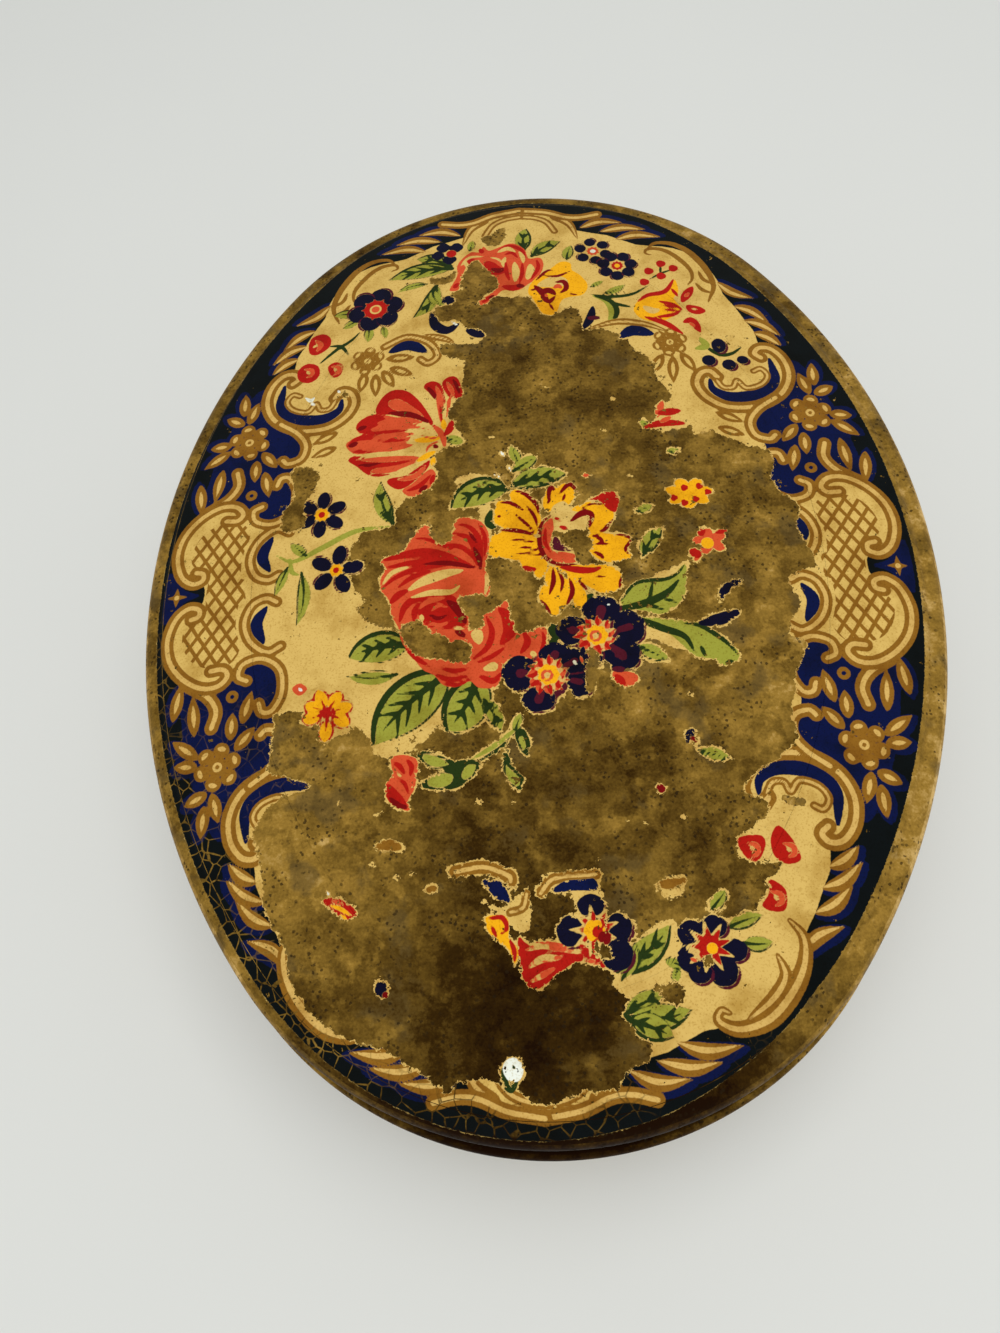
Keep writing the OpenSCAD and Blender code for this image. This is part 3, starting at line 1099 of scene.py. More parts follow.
    def _gold(self, canvas: Canvas) -> None:
        """Scrolls, fronds, arch, flower and lances."""
        motif = self.motif
        for line in self.fronds:
            canvas.stroke(Ink.OCHRE, line, self.frond, Nib.LEAF, False)
            canvas.stroke(Ink.PALE, np.subtract(line, self.frond_in), self.frond_light, Nib.LEAF, False)
        if canvas.place.flip_y > 0:
            canvas.stroke(Ink.OCHRE, self.s_scroll, 1.3, Nib.BRUSH, False)
            canvas.stroke(Ink.OCHRE, self.s_curl, 1.0, Nib.BRUSH, False)
            for line in paths("33.8,57.4 32.2,58.6 31.6,60.6; 33.4,55.2 31.8,56 30.8,57.6"):
                canvas.stroke(Ink.OCHRE, line, 0.8, Nib.BRUSH, False)
        else:
            motif.scroll(canvas, self.low_scroll, 2.6, Nib.BRUSH)
            motif.scroll(canvas, path("26.7,66.3 30.2,63.6 32.1,60.6 31.3,57.7"), 2.0, Nib.BRUSH)
        motif.scroll(canvas, path("6.4,72 5,74.7 2.8,76.1 0,76.6"), 1.4)
        motif.scroll(canvas, path("6.8,76.2 9.2,73.8 10.5,69.8"), 2.3, Nib.COMMA)
        motif.scroll(canvas, path("14.4,76.3 11.2,75.6 8.4,75.9 4.8,77.5 0,78.4"), 1.9)
        crescent = path("31.1,35.6 31.6,33.4 34.6,31.9 39.2,32.6 41.9,35.6 41.6,40")
        canvas.stroke(Ink.BLUE, crescent, 2.4, Nib.BRUSH, False)
        motif.scroll(canvas, self.c_scroll, 2.3)
        motif.scroll(canvas, self.c_heart, 1.2)
        motif.scroll(canvas, path("41.6,31.8 38.4,29.4 36.8,26.8 37.4,24.2 39.6,23.4 40.6,24.2"), 2.0)
        for start, stop in paths("31.3,28.9 35.9,26.7; 31.3,25.9 35.9,24.1"):
            motif.lance(canvas, start, stop, Ink.CREAM, 1.8)
        for start, stop in self.lances:
            motif.lance(canvas, start, stop)
        motif.gold_flower(canvas, (46.9, 28.7), 3.8, Ink.PALE)
        canvas.bloom(Ink.OCHRE, (45.5, 17.8), 1.0, kept=False)
        canvas.bloom(Ink.BLUE, (45.5, 17.8), 0.35, kept=False)
        motif.scroll(canvas, path("52.6,15.6 49.4,17.6 47.9,20 48.4,22.6"), 2.2)

    def _cartouche(self, canvas: Canvas) -> None:
        """One lobe of a lattice cartouche with the scrolls that hold it."""
        motif = self.motif
        canvas.fill(Ink.CREAM, self.lobe_ground, False)
        motif.scroll(canvas, self.lobe, 2.2)
        canvas.stroke(Ink.BLUE, path("41.2,3.2 42.6,6 41.2,9.3"), 2.0, Nib.BRUSH, False)
        motif.scroll(canvas, self.inner_hook, 1.9)
        motif.scroll(canvas, self.outer_hook, 1.9)
        star = path("58.1,-0.1 57,0.4 56.5,1.8 56,0.4 54.7,-0.1 56.5,-0.5")
        canvas.fill(Ink.OCHRE, star, False, 1)
        canvas.bloom(Ink.PALE, (56.5, 0), 0.45, kept=False)

    def lattice(self, canvas: Canvas) -> np.ndarray:
        """Depth inside the lattice of either cartouche at each vertex."""
        depths = [canvas.at(place).inside(self.lattice_ground, 4) for place in self.quarters()]
        return np.maximum(np.max(depths, 0), canvas.bare)


@dataclass(frozen=True)
class BouquetDrawing:
    """Flowers of the pale panel, each at its own place on the lid."""

    motif: Ornament = Ornament()

    # Scraps of ground and stems
    stems: str = """
        cream 0 3.6,-49.8 7.4,-50.2 7,-51.8 4,-51.4;
        0 8.6,-61 13,-56 16.6,-54.2 18,-57 16,-60 18,-63 14,-62.2 12.6,-65 9,-63;
        0 -8.6,-51 -6,-52 -2.6,-50 -2.6,-54.6 -4.4,-54.8 -6,-53.2; 2 -11.6,16 -9,16.4 -5,14.6;
        1.8 -7,13 -7.2,9 -6.8,5; 1.6 13.6,-6 20,-3 23.6,-1; 1.6 14,-11 22,-14.6 27,-15.4;
        leaf 1 -41,4.8 -38,3.4 -33.5,5.4 -28,8 -22.3,8.4; 0.8 -10,-31 -6.5,-29 -3,-26.3;
        0.8 -38.6,4 -38.2,1.6 -36.8,0.8; 1.8 12.4,53.5 14.7,52.3 15.7,49.6 14.7,46.2;
        green 1 12.8,53.2 15.4,51.9 16.3,49.4 15,46.2; 0.7 15.1,51.9 17,51 19,50.4;
        0.7 12,53.7 15.8,53 19.3,53.5 22.2,55.4; 0.5 22.6,57 25,58.5 27,59.3; 0.5 24.8,60.4 24.6,58;
        0.7 -36,43 -33,45.8 -30.5,47.5 -28.8,49.4; 0.7 -34.4,46.8 -32.2,46.4 -30.6,44;
        0.8 29.8,42.4 31,40.8 33,39.2 35,39.4 36.8,40.8; leaf 1.4 29,40.6 30.8,41.2 30,43;
        green 1.3 -6.3,10.4 -6.8,8 -5.4,6.7; 2 2.4,-10.4 2.8,-12 2.2,-13.4; 1.6 5.6,-7.6 7.6,-6.6 8.8,-5.6;
        leaf 0 13,-7.2 14,-5.4 16,-4 18.4,-3.6 21,-3.2 23.2,-1.1 23.2,-4 22.6,-6.5 21,-8.4 19,-9.4 16.4,-8.8
        14,-8;
        0 14.6,-9.8 18,-10 21,-10.5 24,-11 26.5,-12.5 28.5,-14.5 29.8,-16.3 28.8,-17.8 27,-18 25.8,-17
        24.6,-16.8 23,-16.3 21.5,-14.5 19.6,-12.6 17,-11.5;
        green 0.7 13,-7 15,-4.4 17,-3.7 20,-3.6 22,-2.6 23.1,-1.2;
        1.3 11,-8.4 15,-7.9 18,-7 20.4,-5.6 22,-3.8; 0.6 17.2,-7.2 17.7,-5.4 18,-4;
        0.6 16.6,-7.6 18,-8.2 19.6,-8.8; 0.6 19,-6.8 20.2,-7.1 21.4,-7.6;
        1.2 13,-9.4 16,-10.4 19,-11.8 22,-13.2 23.2,-15.6;
        0.8 21.6,-10.9 24.5,-11.6 27,-13.4 28.6,-15 29.6,-16.6; 0.7 24.2,-14.8 24.8,-16.6;
        0.8 27.6,-17.7 28.8,-17.5;
        0 -18,-29.2 -15.4,-29.7 -12.6,-30.9 -9.6,-31 -8.6,-31.8 -9.6,-33.4 -11.6,-34.9 -14,-35.3 -16.6,-34.9
        -17.2,-34.2 -15.4,-33 -13.8,-32.3 -15.6,-32.2 -17.4,-30.8;
        leaf 0 -17,-29.9 -15,-30.3 -13.2,-31.5 -15.2,-31.8 -16.6,-31;
        0 -16.4,-34.1 -14.8,-32.9 -12.7,-33.1 -13,-34.4 -14.8,-34.9;
        0 -11.4,-33.2 -10.6,-31.8 -9.3,-31.9 -9.9,-33.3 -11,-33.9; green 0.6 -9.2,-31.4 -6,-29.6 -3.4,-27.2;
        0 -5.6,-30.6 -4.6,-29.6 -4.2,-32 -2.5,-34 -3,-35.8 -4.4,-35.2 -5.4,-33;
        leaf 0 -5,-32 -4.5,-32.6 -3.2,-34 -3.3,-35.2 -4.4,-34.6 -5,-33.4;
        green 0 -3.4,-26.4 -2.2,-26.8 -1.4,-29 -1.9,-30.8 -3.1,-29.6 -3.6,-27.8;
        leaf 0 -3.1,-28.2 -2.5,-27.8 -2.1,-29.2 -2.4,-30
    """

    # Leaves: base, tip, width and bend
    leaves: Sequence[Path] = paths("""
        -12.8,63.2 -19.2,66 3.2,-0.6; -12.6,62.6 -24.3,61.2 3.6,-0.8; -15.3,59 -19.6,51.2 2.8,1.2;
        -16,57.6 -13.8,53.4 2.2,-0.7; -17,59.2 -22.6,57.8 1.5,-0.5; 0.6,66 1.2,71.8 2.9,0.4;
        2,64.2 7.4,67.6 2.8,0.6; 8.2,62.8 9.2,66.4 2,0.2; 14.3,53.8 18.3,55.9 1.6,-0.3;
        12,55.5 14.6,57 1.1,0; -9.3,66.8 -8.7,69.6 1.5,0; -29.8,53.6 -34,54 2,-0.2;
        -29.4,52.2 -32.2,50.6 1.7,0; -27.4,50.2 -27.6,46.6 1.8,0.2; -24.8,50 -24.2,47 1.4,0;
        -3.7,14.2 -12.9,11 5,-1.2; -3,14.6 6.2,16.2 3.8,0.6; -1.4,18.5 -2.8,22.6 1.9,0.2;
        -2.6,17.4 1.6,20.2 2.4,0; -22,8.8 -24.2,17.2 2.8,0.8; -36,4.3 -38.8,6.8 1.9,0;
        -36.6,1.2 -37,-8.2 2.1,0.8; -38.9,2.4 -40.8,-2.6 1.6,0; 15,-14.5 19.6,-17 2.4,0;
        17,0.6 20.4,5.6 2.6,0.4; 16.6,8.6 19.2,9.6 1.6,0; -21,-17.2 -28.8,-17 2.3,0.4;
        -19.4,-12.4 -28.6,-14 5,-0.6; -13.4,-17.6 -24.6,-28.2 7.4,-0.8; -9,-18.6 -13.6,-26.6 6.4,0.6;
        -8,-22 -5.6,-27 2.5,0.3; -3.6,-27 -2.6,-24.2 1.5,0; 9,-60.4 16.5,-54.7 3.6,-0.7;
        9.4,-61.6 11.6,-57 1.9,-0.4; 9.6,-66 15.4,-63.4 2.6,0.3; 10,-66.4 18.4,-65.6 3.4,-0.5;
        10.4,-66.8 15.7,-68.9 3.2,0.2; 22,-53 24.2,-50.5 1.9,0; 24,-55.4 28.9,-53.9 2,0.2;
        25.8,-57.4 29.8,-57.4 2,-0.2; 17.8,-60.2 15,-59.2 1.5,0; 16.8,-60.4 16.2,-62.2 1.3,0;
        22.4,-31 26.8,-32.2 2,0; 19.6,24.6 18.4,26 1.4,0; 22.2,19.4 24.4,20 1.2,0; -13.4,24.6 -10.6,23.4 2,0
    """)

    # Red fan of petals with pale rays from its foot
    peony: str = """
        red 0 -25.5,31.7 -24.5,34 -22.7,35.4 -20.3,35 -18.3,33 -16.7,30.3 -15.7,27.8 -18,28.7 -20.3,29.3
        -23,30.3 -25,30.5; coral 0 -23.4,33 -21.6,33.4 -19,31.4 -17.2,29.2 -19.6,30.2 -22.6,31.4;
        crimson 1.3 -23.3,30.7 -19.7,29.9 -16,27.9; coral 0 -28.8,28.3 -28,29.7 -25.8,30.7 -23,30 -20.3,29
        -17.7,27.7 -15.7,26.3 -18.3,27 -22,27 -25.7,26.7 -28,27;
        red 0 -28.8,28.3 -28,29.7 -25.8,30.6 -23.8,29.6 -25,28.4 -26.4,27 -28,27.1;
        crimson 0.9 -28.5,27.8 -27,28.3; coral 0 -30.4,24.8 -29.7,25.7 -28,26.5 -24.7,26.2 -21.7,25.7
        -19.5,25.2 -20.5,24.2 -22,23.3 -26.3,22.8 -29,23; red 1.2 -30.1,24.6 -28.4,25.9 -25,26 -21,25.6;
        1 -29.4,23.4 -26,23.3 -22.4,23.6; crimson 1 -29.8,24.5 -28.4,25.1; red 0 -29.9,21.7 -28.7,22.5
        -26.3,21.8 -23,21.3 -19,21 -16.6,21 -17.7,20 -20.3,19 -23,18.2 -25,18 -26.7,18.7 -28.3,20.3;
        crimson 1 -28.2,20.6 -23,20.2 -18.5,20.8; coral 0.9 -26,18.9 -22.6,19.1 -19.4,20;
        0.7 -28.6,21.8 -25.6,21.3 -20,20.8;
        red 0 -23.2,16.7 -22.7,17.5 -20.3,17.8 -18,19.3 -16.2,20.5 -16.7,18.7 -19,16.3 -20.7,15.3 -22,15.5;
        coral 1 -21.4,17 -18.6,17.6 -16.9,19.4;
        0 -20.7,15 -19,16.2 -16.3,18.7 -15.2,17.7 -15.7,15.7 -17.3,14.2 -19.3,13.7;
        red 0.9 -20,14.8 -17.8,15.7 -16,17.6; crimson 1 -17.9,14.5 -16.6,15.6; red 0.9 -16,15.8 -15.5,17.6;
        0 -17.3,35.3 -17,36.2 -15.7,36.6 -14.5,35.8 -14,34.3 -13.5,31.3 -14.2,29.4 -14.8,31.7 -16,33.7;
        crimson 0.9 -16.8,35.6 -15.8,34 -15,32.4; coral 0.9 -15.2,35.4 -14.5,33 -14.1,30.4;
        red 0 -14.2,36 -13.5,37 -12.3,37.3 -11.3,36.3 -10.7,33 -12.7,32.7 -13.7,34.3;
        crimson 0.7 -12.4,36.8 -11.6,35 -11.2,33.4; coral 0.8 -13.4,36.2 -12.6,34.4 -12.2,33;
        1.5 -26,27.7 -22,27.5 -18.2,27.8; 1.3 -25,28.9 -20.6,28.9 -17.2,28;
        1.2 -26,25.8 -22,26.1 -18.6,25.9; 1.6 -28,23.9 -23,23.6 -19.2,23.7;
        red 0.7 -27.4,26.8 -23,26.8 -19.6,26.8; 0.6 -25,24.9 -22,24.9 -19.8,24.8;
        coral 1.1 -27.6,21.6 -22.6,21.3 -17.6,21.2; 1.5 -25.8,19.2 -22,19.6 -18,20.4;
        red 0.7 -26.6,19.9 -22,20.3 -18.4,20.9; coral 1.2 -15,33.4 -14.3,30.2 -14.1,27.2;
        0.9 -12.8,33 -13.4,30.4 -13.7,28.4; red 0.6 -14.6,31.6 -14.2,28.8 -14.1,26.8;
        cream 0.8 -14.6,25.6 -17.6,26.4 -20.4,26.5; 0.8 -15,26.2 -17,27.4 -19,28;
        0.9 -14.6,24.8 -18,24.4 -20.6,24.3; 0.9 -15,23.6 -19,22.5 -27.4,22.4; 0.7 -16,22 -18.6,21.8;
        0.7 -16.2,20.9 -18.8,19.7 -22.6,18.3; 0.7 -13.7,27.6 -13.8,29.8 -13.5,32;
        1.4 -16,24 -17.4,23.1 -18.6,23; yellow 1.2 -14.3,24.8 -16.4,24.6 -18.9,24.6;
        1.1 -15.2,22.2 -17,21.2 -18.4,20.4; 1 -14,28.4 -13.8,26.4; 1 -15.6,21 -15.7,19.4;
        coral 1.1 -15.8,27.6 -14.2,25.4 -13.7,22.8; red 1.3 -12.5,28.1 -12.9,26.4 -13.8,25.2;
        crimson 0.8 -15.8,23.5 -14.8,22.8; coral 0.5 -14.6,24.2 -16.4,23.2 -16.8,22;
        0.5 -14.4,24.8 -16.2,24.9 -17.8,25.6; red 0.5 -15.4,27.2 -16.4,28
    """

    # Yellow flower with red-brown veins round a red cup
    aster: str = """
        yellow 0 -5.8,10 -5.3,11.7 -4,12 -1.7,10.5 0.5,8.5 1.2,5.7 -0.7,5.8 -3.7,6.8 -5.7,7.7;
        0 -3.3,13 -2.5,13.9 -0.7,13 0.8,11 1.5,9 1.2,7 -1,9.6 -3,11.9;
        0 2,11.7 2.8,13.8 4,13.9 6,14.6 7.3,13.2 6.6,11.2 4.7,9.6 2.3,9.6;
        cream 0 3.2,9.9 5.2,11.2 6.6,9.6 8.6,9.4 8.4,6 5.6,5.6 3.6,6.4;
        yellow 0 6.3,9.6 9,10.8 11.3,10.4 12.8,9.3 12.7,7.3 10.7,5 8.8,5.8 9.6,7.8 8.4,8.8;
        red 0 9.3,11.3 10.3,11.7 12.7,12.8 14,11 13.3,8.7 12,9.4 11,10.8;
        yellow 0 9,5 12.3,4.8 15.4,3.7 14.4,2 15.3,0.6 13,-0.2 10.5,0.2 8.6,2.3;
        0 3.4,0 6.7,-0.4 9.7,-0.4 12,-0.9 13.6,-2.7 13,-4.8 10.7,-5.5 8.6,-4.4 5.4,-2;
        0 5,-1.6 7.6,-4.6 7.8,-7 6.3,-7.9 5.7,-5.6;
        0 2.3,-0.4 3.7,-1 5.3,-3 5.6,-5.7 4.3,-7.8 2.7,-8.9 1.3,-7 0.7,-5.3 1.6,-3;
        0 -7,3 -5.7,6.2 -2.3,6.2 1,4.9 1.5,2 -0.3,0.5 -4.3,1.5 -6.3,1.8;
        0 -2,1.4 1.5,1.2 2.3,-0.9 0.8,-2.4 -0.3,-0.9 -1.9,0; crimson 0.8 -5.7,6.4 -3,6.4 -0.7,5.8 1,5;
        0.7 -5.2,11.8 -3,11.3 -1,9.8; 0.6 -2.7,9.5 -0.7,7.3 0.4,6; 0.8 -2.7,13.8 -0.7,12.8 0.8,11 1.3,9;
        0.6 -0.8,11 0.5,8.7 0.9,6.7; 0.5 -3.7,4.8 -1,4.4 1,3.8; 0.5 -3,3.6 -0.3,3 1.3,2.4;
        0.5 -2.8,2.1 -0.4,2 1.4,1.6; 0.8 2.8,11.6 3.2,13.9 4.1,13.2; 0.8 4.6,12.6 6.3,14.3 7.6,12.6;
        0.5 2.6,10.8 3.2,12; 0.5 5,11.2 5.6,12.6; 1.2 6.2,7.5 8,8.8 9.4,8.4 9,6.2; 0.5 8,9.8 10,10.5 12,9.9;
        0.7 12.8,7.4 11.3,5.6 10.2,5.2; 0.7 9.2,4.8 10.4,4.2 11.2,3; 0.7 9.4,1.8 10.4,1.2 11,0.4;
        0.6 12.4,4.9 15.4,3.8 14.3,2 15.2,0.6; 0.5 9.6,3.2 12.4,2.9;
        red 1.2 3.8,-0.4 6.7,-1.2 9,-1.4 10.6,-0.9; crimson 0.6 6.7,-2.8 8.2,-5; 0.5 13.4,-2.6 12.9,-5;
        0.5 9,-2.4 11,-2.6; 0.8 3,-0.7 3,-3 2.3,-5.2; 0.6 3.7,-1 4.4,-3 4,-5; 0.8 5.5,-2.6 5.8,-5 4.8,-7.2;
        0.8 0.9,-6 2.4,-8.7;
        coral 0 2,7.3 3.3,8.2 3.4,5.7 2.8,3.7 3.2,2.3 5,2 6.8,1.3 6.5,0.1 4,0.2 2,1.2 1.3,3.7 1.5,6;
        purple 0 3.6,5 3.2,2.6 6.3,2.1 5,3; crimson 0.8 3.2,8.8 1.6,7.3 1.1,4.3 1.8,1.5 3.7,0 6.8,-0.3;
        red 0.7 2.2,6.6 2,4 2.8,2; 0.8 4.4,6.6 5.6,6.1; 0.6 3.6,8.4 4.6,7.6; crimson 0.6 -5.3,9.2 -4.9,9;
        red 1.1 -1.6,-0.2 -0.4,-0.8 0.4,-0.6
    """

    # Large red rose, turned to the upper right
    rose: str = """
        coral 0 -23.8,2.3 -20.3,3.7 -19.3,5.5 -17.3,8.1 -15.7,7.5 -14,6 -12.7,6 -12.2,8.3 -11.2,9.2 -9.3,9
        -7.7,8 -6.8,6 -6.8,3 -7.4,0.6 -7,-1.7 -6.4,-3 -5,-5.6 -4.3,-6 -3.7,-7 -3.2,-9.7 -3,-11.3 -1.3,-11
        1.3,-10.7 1.7,-12.3 1.3,-14.7 -0.3,-16.3 -1.7,-15.4 -3.7,-15.4 -5.2,-16.7 -5.2,-18.3 -6.3,-20
        -8.7,-20 -10,-18.9 -12,-19.7 -14,-19.3 -15.3,-17.7 -17,-16.7 -18.3,-15 -20.3,-12 -20.8,-9.7 -22,-7.3
        -22.3,-5 -23.7,-3 -23.8,-1 -23.2,0.8; red 1.6 -23.6,2.3 -20.3,3 -17,3.3 -13.7,2.4 -9.2,0.2;
        1.2 -23.2,0.9 -19,1.5 -14,1.5 -9,0; 1.1 -12.4,6.5 -10,5.4 -8.8,3 -8.3,0.2;
        0.9 -15,4.4 -11.4,4 -9.4,2.2 -8.6,0.4; 0.9 -12,8.2 -9.7,7.3 -8.3,4.9 -7.9,1;
        0.7 -8.4,8 -7.4,5.4 -7.5,2; 0.9 -23.5,-2.6 -21.3,-0.8 -17.7,0.5 -13,0.6;
        0.9 -21,-2.6 -18.8,-1 -15.7,0; 0.7 -18.6,6 -16,5.4 -12.4,3.4; 1.2 -22.3,-5.4 -20.9,-3.9 -19.4,-3.2;
        1.2 -20.7,-8.6 -20,-6.2 -18.4,-4.9 -15,-4.6; 1.1 -18.5,-8.6 -18.2,-6.6 -16.8,-5.4;
        0.9 -15.4,-17.4 -13,-18.5 -10.3,-18; 0.6 -14.2,-19 -12,-19.4 -9.8,-18.5;
        0.8 -14.6,-16.4 -12.4,-17.1 -10,-16.8; 1 -8.8,-18 -6.6,-19 -5.4,-17.8;
        0.8 -19.8,-13 -18,-14.8 -16,-16.2; 2.2 -5.4,-7.2 -4.2,-8.6 -3.9,-11 -5.2,-13;
        1 -7.4,-8.4 -6.6,-11 -7.4,-13.6 -9.6,-15.4; 1.1 -1.9,-11.2 -1.3,-13 -2.4,-14.8;
        0.7 0.9,-11.2 1.2,-13 0.4,-15.2; 0.8 -4.6,-13.6 -6.6,-15 -9,-16;
        0 -18,-6.8 -16.6,-5.2 -14,-4.2 -12,-5 -10.4,-8.4 -11,-10 -14,-10.2 -16.6,-9.4;
        coral 0.9 -17.8,-6.6 -16.4,-5.4 -13.8,-4.9; 0.7 -16.6,-8.8 -14.6,-9.5 -13,-8.9;
        0.6 -15.9,-7.1 -14.6,-6.1 -13.2,-6.6; crimson 1.5 -13.4,-5.4 -11.7,-7 -10.6,-9.3;
        0.7 -16.2,-7.6 -14.8,-8.3 -13.4,-7.9; 0.9 -17.4,1.3 -13,1.1 -8.4,-0.1;
        0.9 -9.2,3.8 -8.4,1.6 -8.1,-0.3; 0.6 -10,6.6 -8.6,4.4; 1 -12.2,-10.4 -10.6,-11.6;
        cream 1.7 -19.4,-3.2 -17,-1.8 -13.7,-0.7 -11,-0.3; 1.1 -18.9,-4.5 -16,-3.9 -12.8,-3.9 -11.4,-2.9;
        0.8 -23.5,-2 -22,0 -19,1; 0.8 -17.4,-7.6 -17.2,-8.6;
        0 -9.7,-10.8 -8.3,-10.6 -7.9,-12 -8.6,-13 -9.6,-12; 0 -8.2,-17.2 -6.8,-16 -5.8,-16.4 -6.2,-17.4;
        0.7 -12.6,-10 -10.8,-10.2; 0.9 -0.8,-14.6 -0.2,-15.4
    """

    # Rose of the upper garland, drawn in curled strokes
    top_rose: str = """
        coral 0 -11.6,63 -10.6,65 -9,66.4 -7.6,66.2 -6.8,67.6 -5.8,66.4 -4.2,67 -2,67.9 -0.4,67.3 0.8,65.8
        1.4,63.6 3.4,63.6 4,61.6 3,58.8 1,57 -0.6,55.8 -3.4,56 -4.6,54.8 -7,52.8 -7.8,53.8 -5.4,55.6 -4.2,58
        -5,60 -6.4,62 -8,64 -9.4,63.6 -10.4,61.4 -11,59 -11.4,57 -13,57 -12.4,58.6 -11.6,60.6;
        cream 0.6 -11,63 -9.4,65 -6.8,65; red 0.8 -9.8,62.6 -9.3,64.2 -8.4,64.4; 1 -7.4,67 -7,66;
        2.6 -6.2,63.4 -5,61.4 -3.4,60.6; crimson 1.2 -5.4,61.6 -4,61 -3,61.6;
        cream 0.5 -5.6,64.6 -4.2,64 -3.4,62.8; red 0.8 -4.2,66.4 -2,67.3 0.2,65.8 0.8,63.6;
        cream 1 -4.2,65.8 -2.4,66.6 -1,65.6; 0.9 -0.3,65.6 0.3,64 0.4,62.6; red 0.7 -3,65 -1.6,65.4 -0.6,64;
        cream 0.9 -2.8,64.4 -3.2,63 -2.9,61.6; 0.8 -10.2,64.2 -9.7,62.4;
        red 0.8 -2.8,63.2 -2.7,60.6 -2.2,58.2; cream 1.4 -1.2,62.8 -1,60.2 -1.2,58;
        red 0.8 0.2,62.6 0.1,60 -0.4,57.6; cream 1.6 1.6,62 1.6,60.2 1,58.4; red 0.8 2.8,63.2 3,61 1.6,58.2;
        1.5 -3.4,57 -1.6,56.4 0.2,57; crimson 1 -1,57 0.4,56.6; red 0.9 -7.2,53.4 -5.6,54.8;
        crimson 0.7 -6,54.2 -5,55; red 1 -12.2,57.6 -11.4,58.6
    """

    # Orange tulip with red flames
    tulip: str = """
        yellow 0 19.2,49.8 20.4,52 23.5,53.2 25.8,54.3 27,56.8 27.4,53.8 26.4,52.2 27.4,49.6 25,47.4
        22.6,46.9 20.3,47.7; pale 1.4 21,50.4 22.4,49.4 23.6,49.6; red 1 20,51.6 22,53.1 25,53.9 26.8,56.8;
        1.7 27.8,51.4 28.6,52.8 29.9,54.8; 2 28.6,50.3 29.6,49.5 31.4,49.1; 1.6 27.6,46.6 29,46.9 30.2,44.4;
        1.2 21,48 24.3,46.5 27.2,44; 0.8 23.6,51.6 26,50.8 27.6,49.6; 0.8 27.6,49.6 26,48.4 22.8,47.9;
        0.6 24.4,50.6 26.6,50; 0.6 24.4,49.6 26.8,49.3; 0.7 26.2,54.6 27.2,52.6;
        coral 0.7 28.4,52.6 29.2,53.4; pale 0.5 29.2,49.7 30.2,49.5; coral 0.7 28.6,46.4 29.4,45.6
    """

    # Petals of the violets: place, radius and height over width
    high_violet: Sequence[Path] = paths("""
        10,-8.2 3,0.8; 14,-11.3 2.4,1.2; 12.6,-15.7 2.8,0.95; 5.5,-11.4 2.6,0.95; 8,-15.6 1.9,1.1
    """)
    low_violet: Sequence[Path] = paths("""
        -2.5,-18 2.9,1; 2.7,-15.2 2.5,0.8; 6.2,-19.8 2,1.2; 0,-22.3 2.6,0.75; 5.6,-16.4 2,1
    """)
    left_violet: Sequence[Path] = paths("5.9,-52 1.9,0.8; 3,-55.3 1.9,1.1; 9.4,-55 1.9,1; 9,-58.4 2.2,1")
    right_violet: Sequence[Path] = paths("""
        19,-56 1.9,0.9; 22,-55.2 1.9,0.8; 24.4,-58.3 1.9,0.8; 22.8,-60.9 2,1; 18.4,-59.2 1.6,1.1;
        19.7,-61 1.6,0.9
    """)

    # Buds: outline and then heart
    upper_buds: Sequence[Path] = paths("""
        -39.8,42 -38.2,43.4 -36.2,42.6 -35.8,40.4 -37.4,39 -39.4,39.8 -37.9,41.4;
        -34.4,42 -33,43 -31.6,42 -32,40 -33.4,39.6 -33,41.3
    """)
    lower_buds: Sequence[Path] = paths("""
        26.4,-43.6 29.6,-43.2 30.2,-44.6 28.8,-46.8 27.2,-46 28.3,-45;
        32.3,-41.9 34.2,-44.2 34.8,-46.6 32.8,-47.2 31.2,-46 31,-43.6 33.3,-45.2;
        30.2,-49.2 32.2,-50.6 31.9,-53.2 30,-53.4 28.8,-52.6 29.8,-51.2 30.8,-51.6
    """)

    # Rays of the star at the left, each from its near end to its far one
    star_rays: Sequence[Path] = paths("""
        -31.8,-21.8 -33,-18.8; -31,-21.8 -29.4,-19.4; -30.2,-22.4 -27.6,-21.6; -30.2,-23.2 -28,-24.8;
        -31.4,-24 -31.6,-27.2; -32.6,-23 -35,-23.6; -32.4,-22.2 -34.8,-21
    """)

    def draw(self, canvas: Canvas) -> None:
        """Draws leaves first, then the flowers over them."""
        self._leaves(canvas)
        self._sprays(canvas)
        canvas.paint(self.peony)
        canvas.paint(self.aster)
        canvas.paint(self.rose)
        self._violets(canvas)
        canvas.paint(self.top_rose)
        self._top_group(canvas)
        canvas.paint(self.tulip)
        self._garland(canvas)
        self._remnants(canvas)

    def _leaves(self, canvas: Canvas) -> None:
        """Scraps of ground, stems and leaves."""
        canvas.paint(self.stems)
        for base, tip, (width, bend) in self.leaves:
            self.motif.leaf(canvas, base, tip, width, bend)

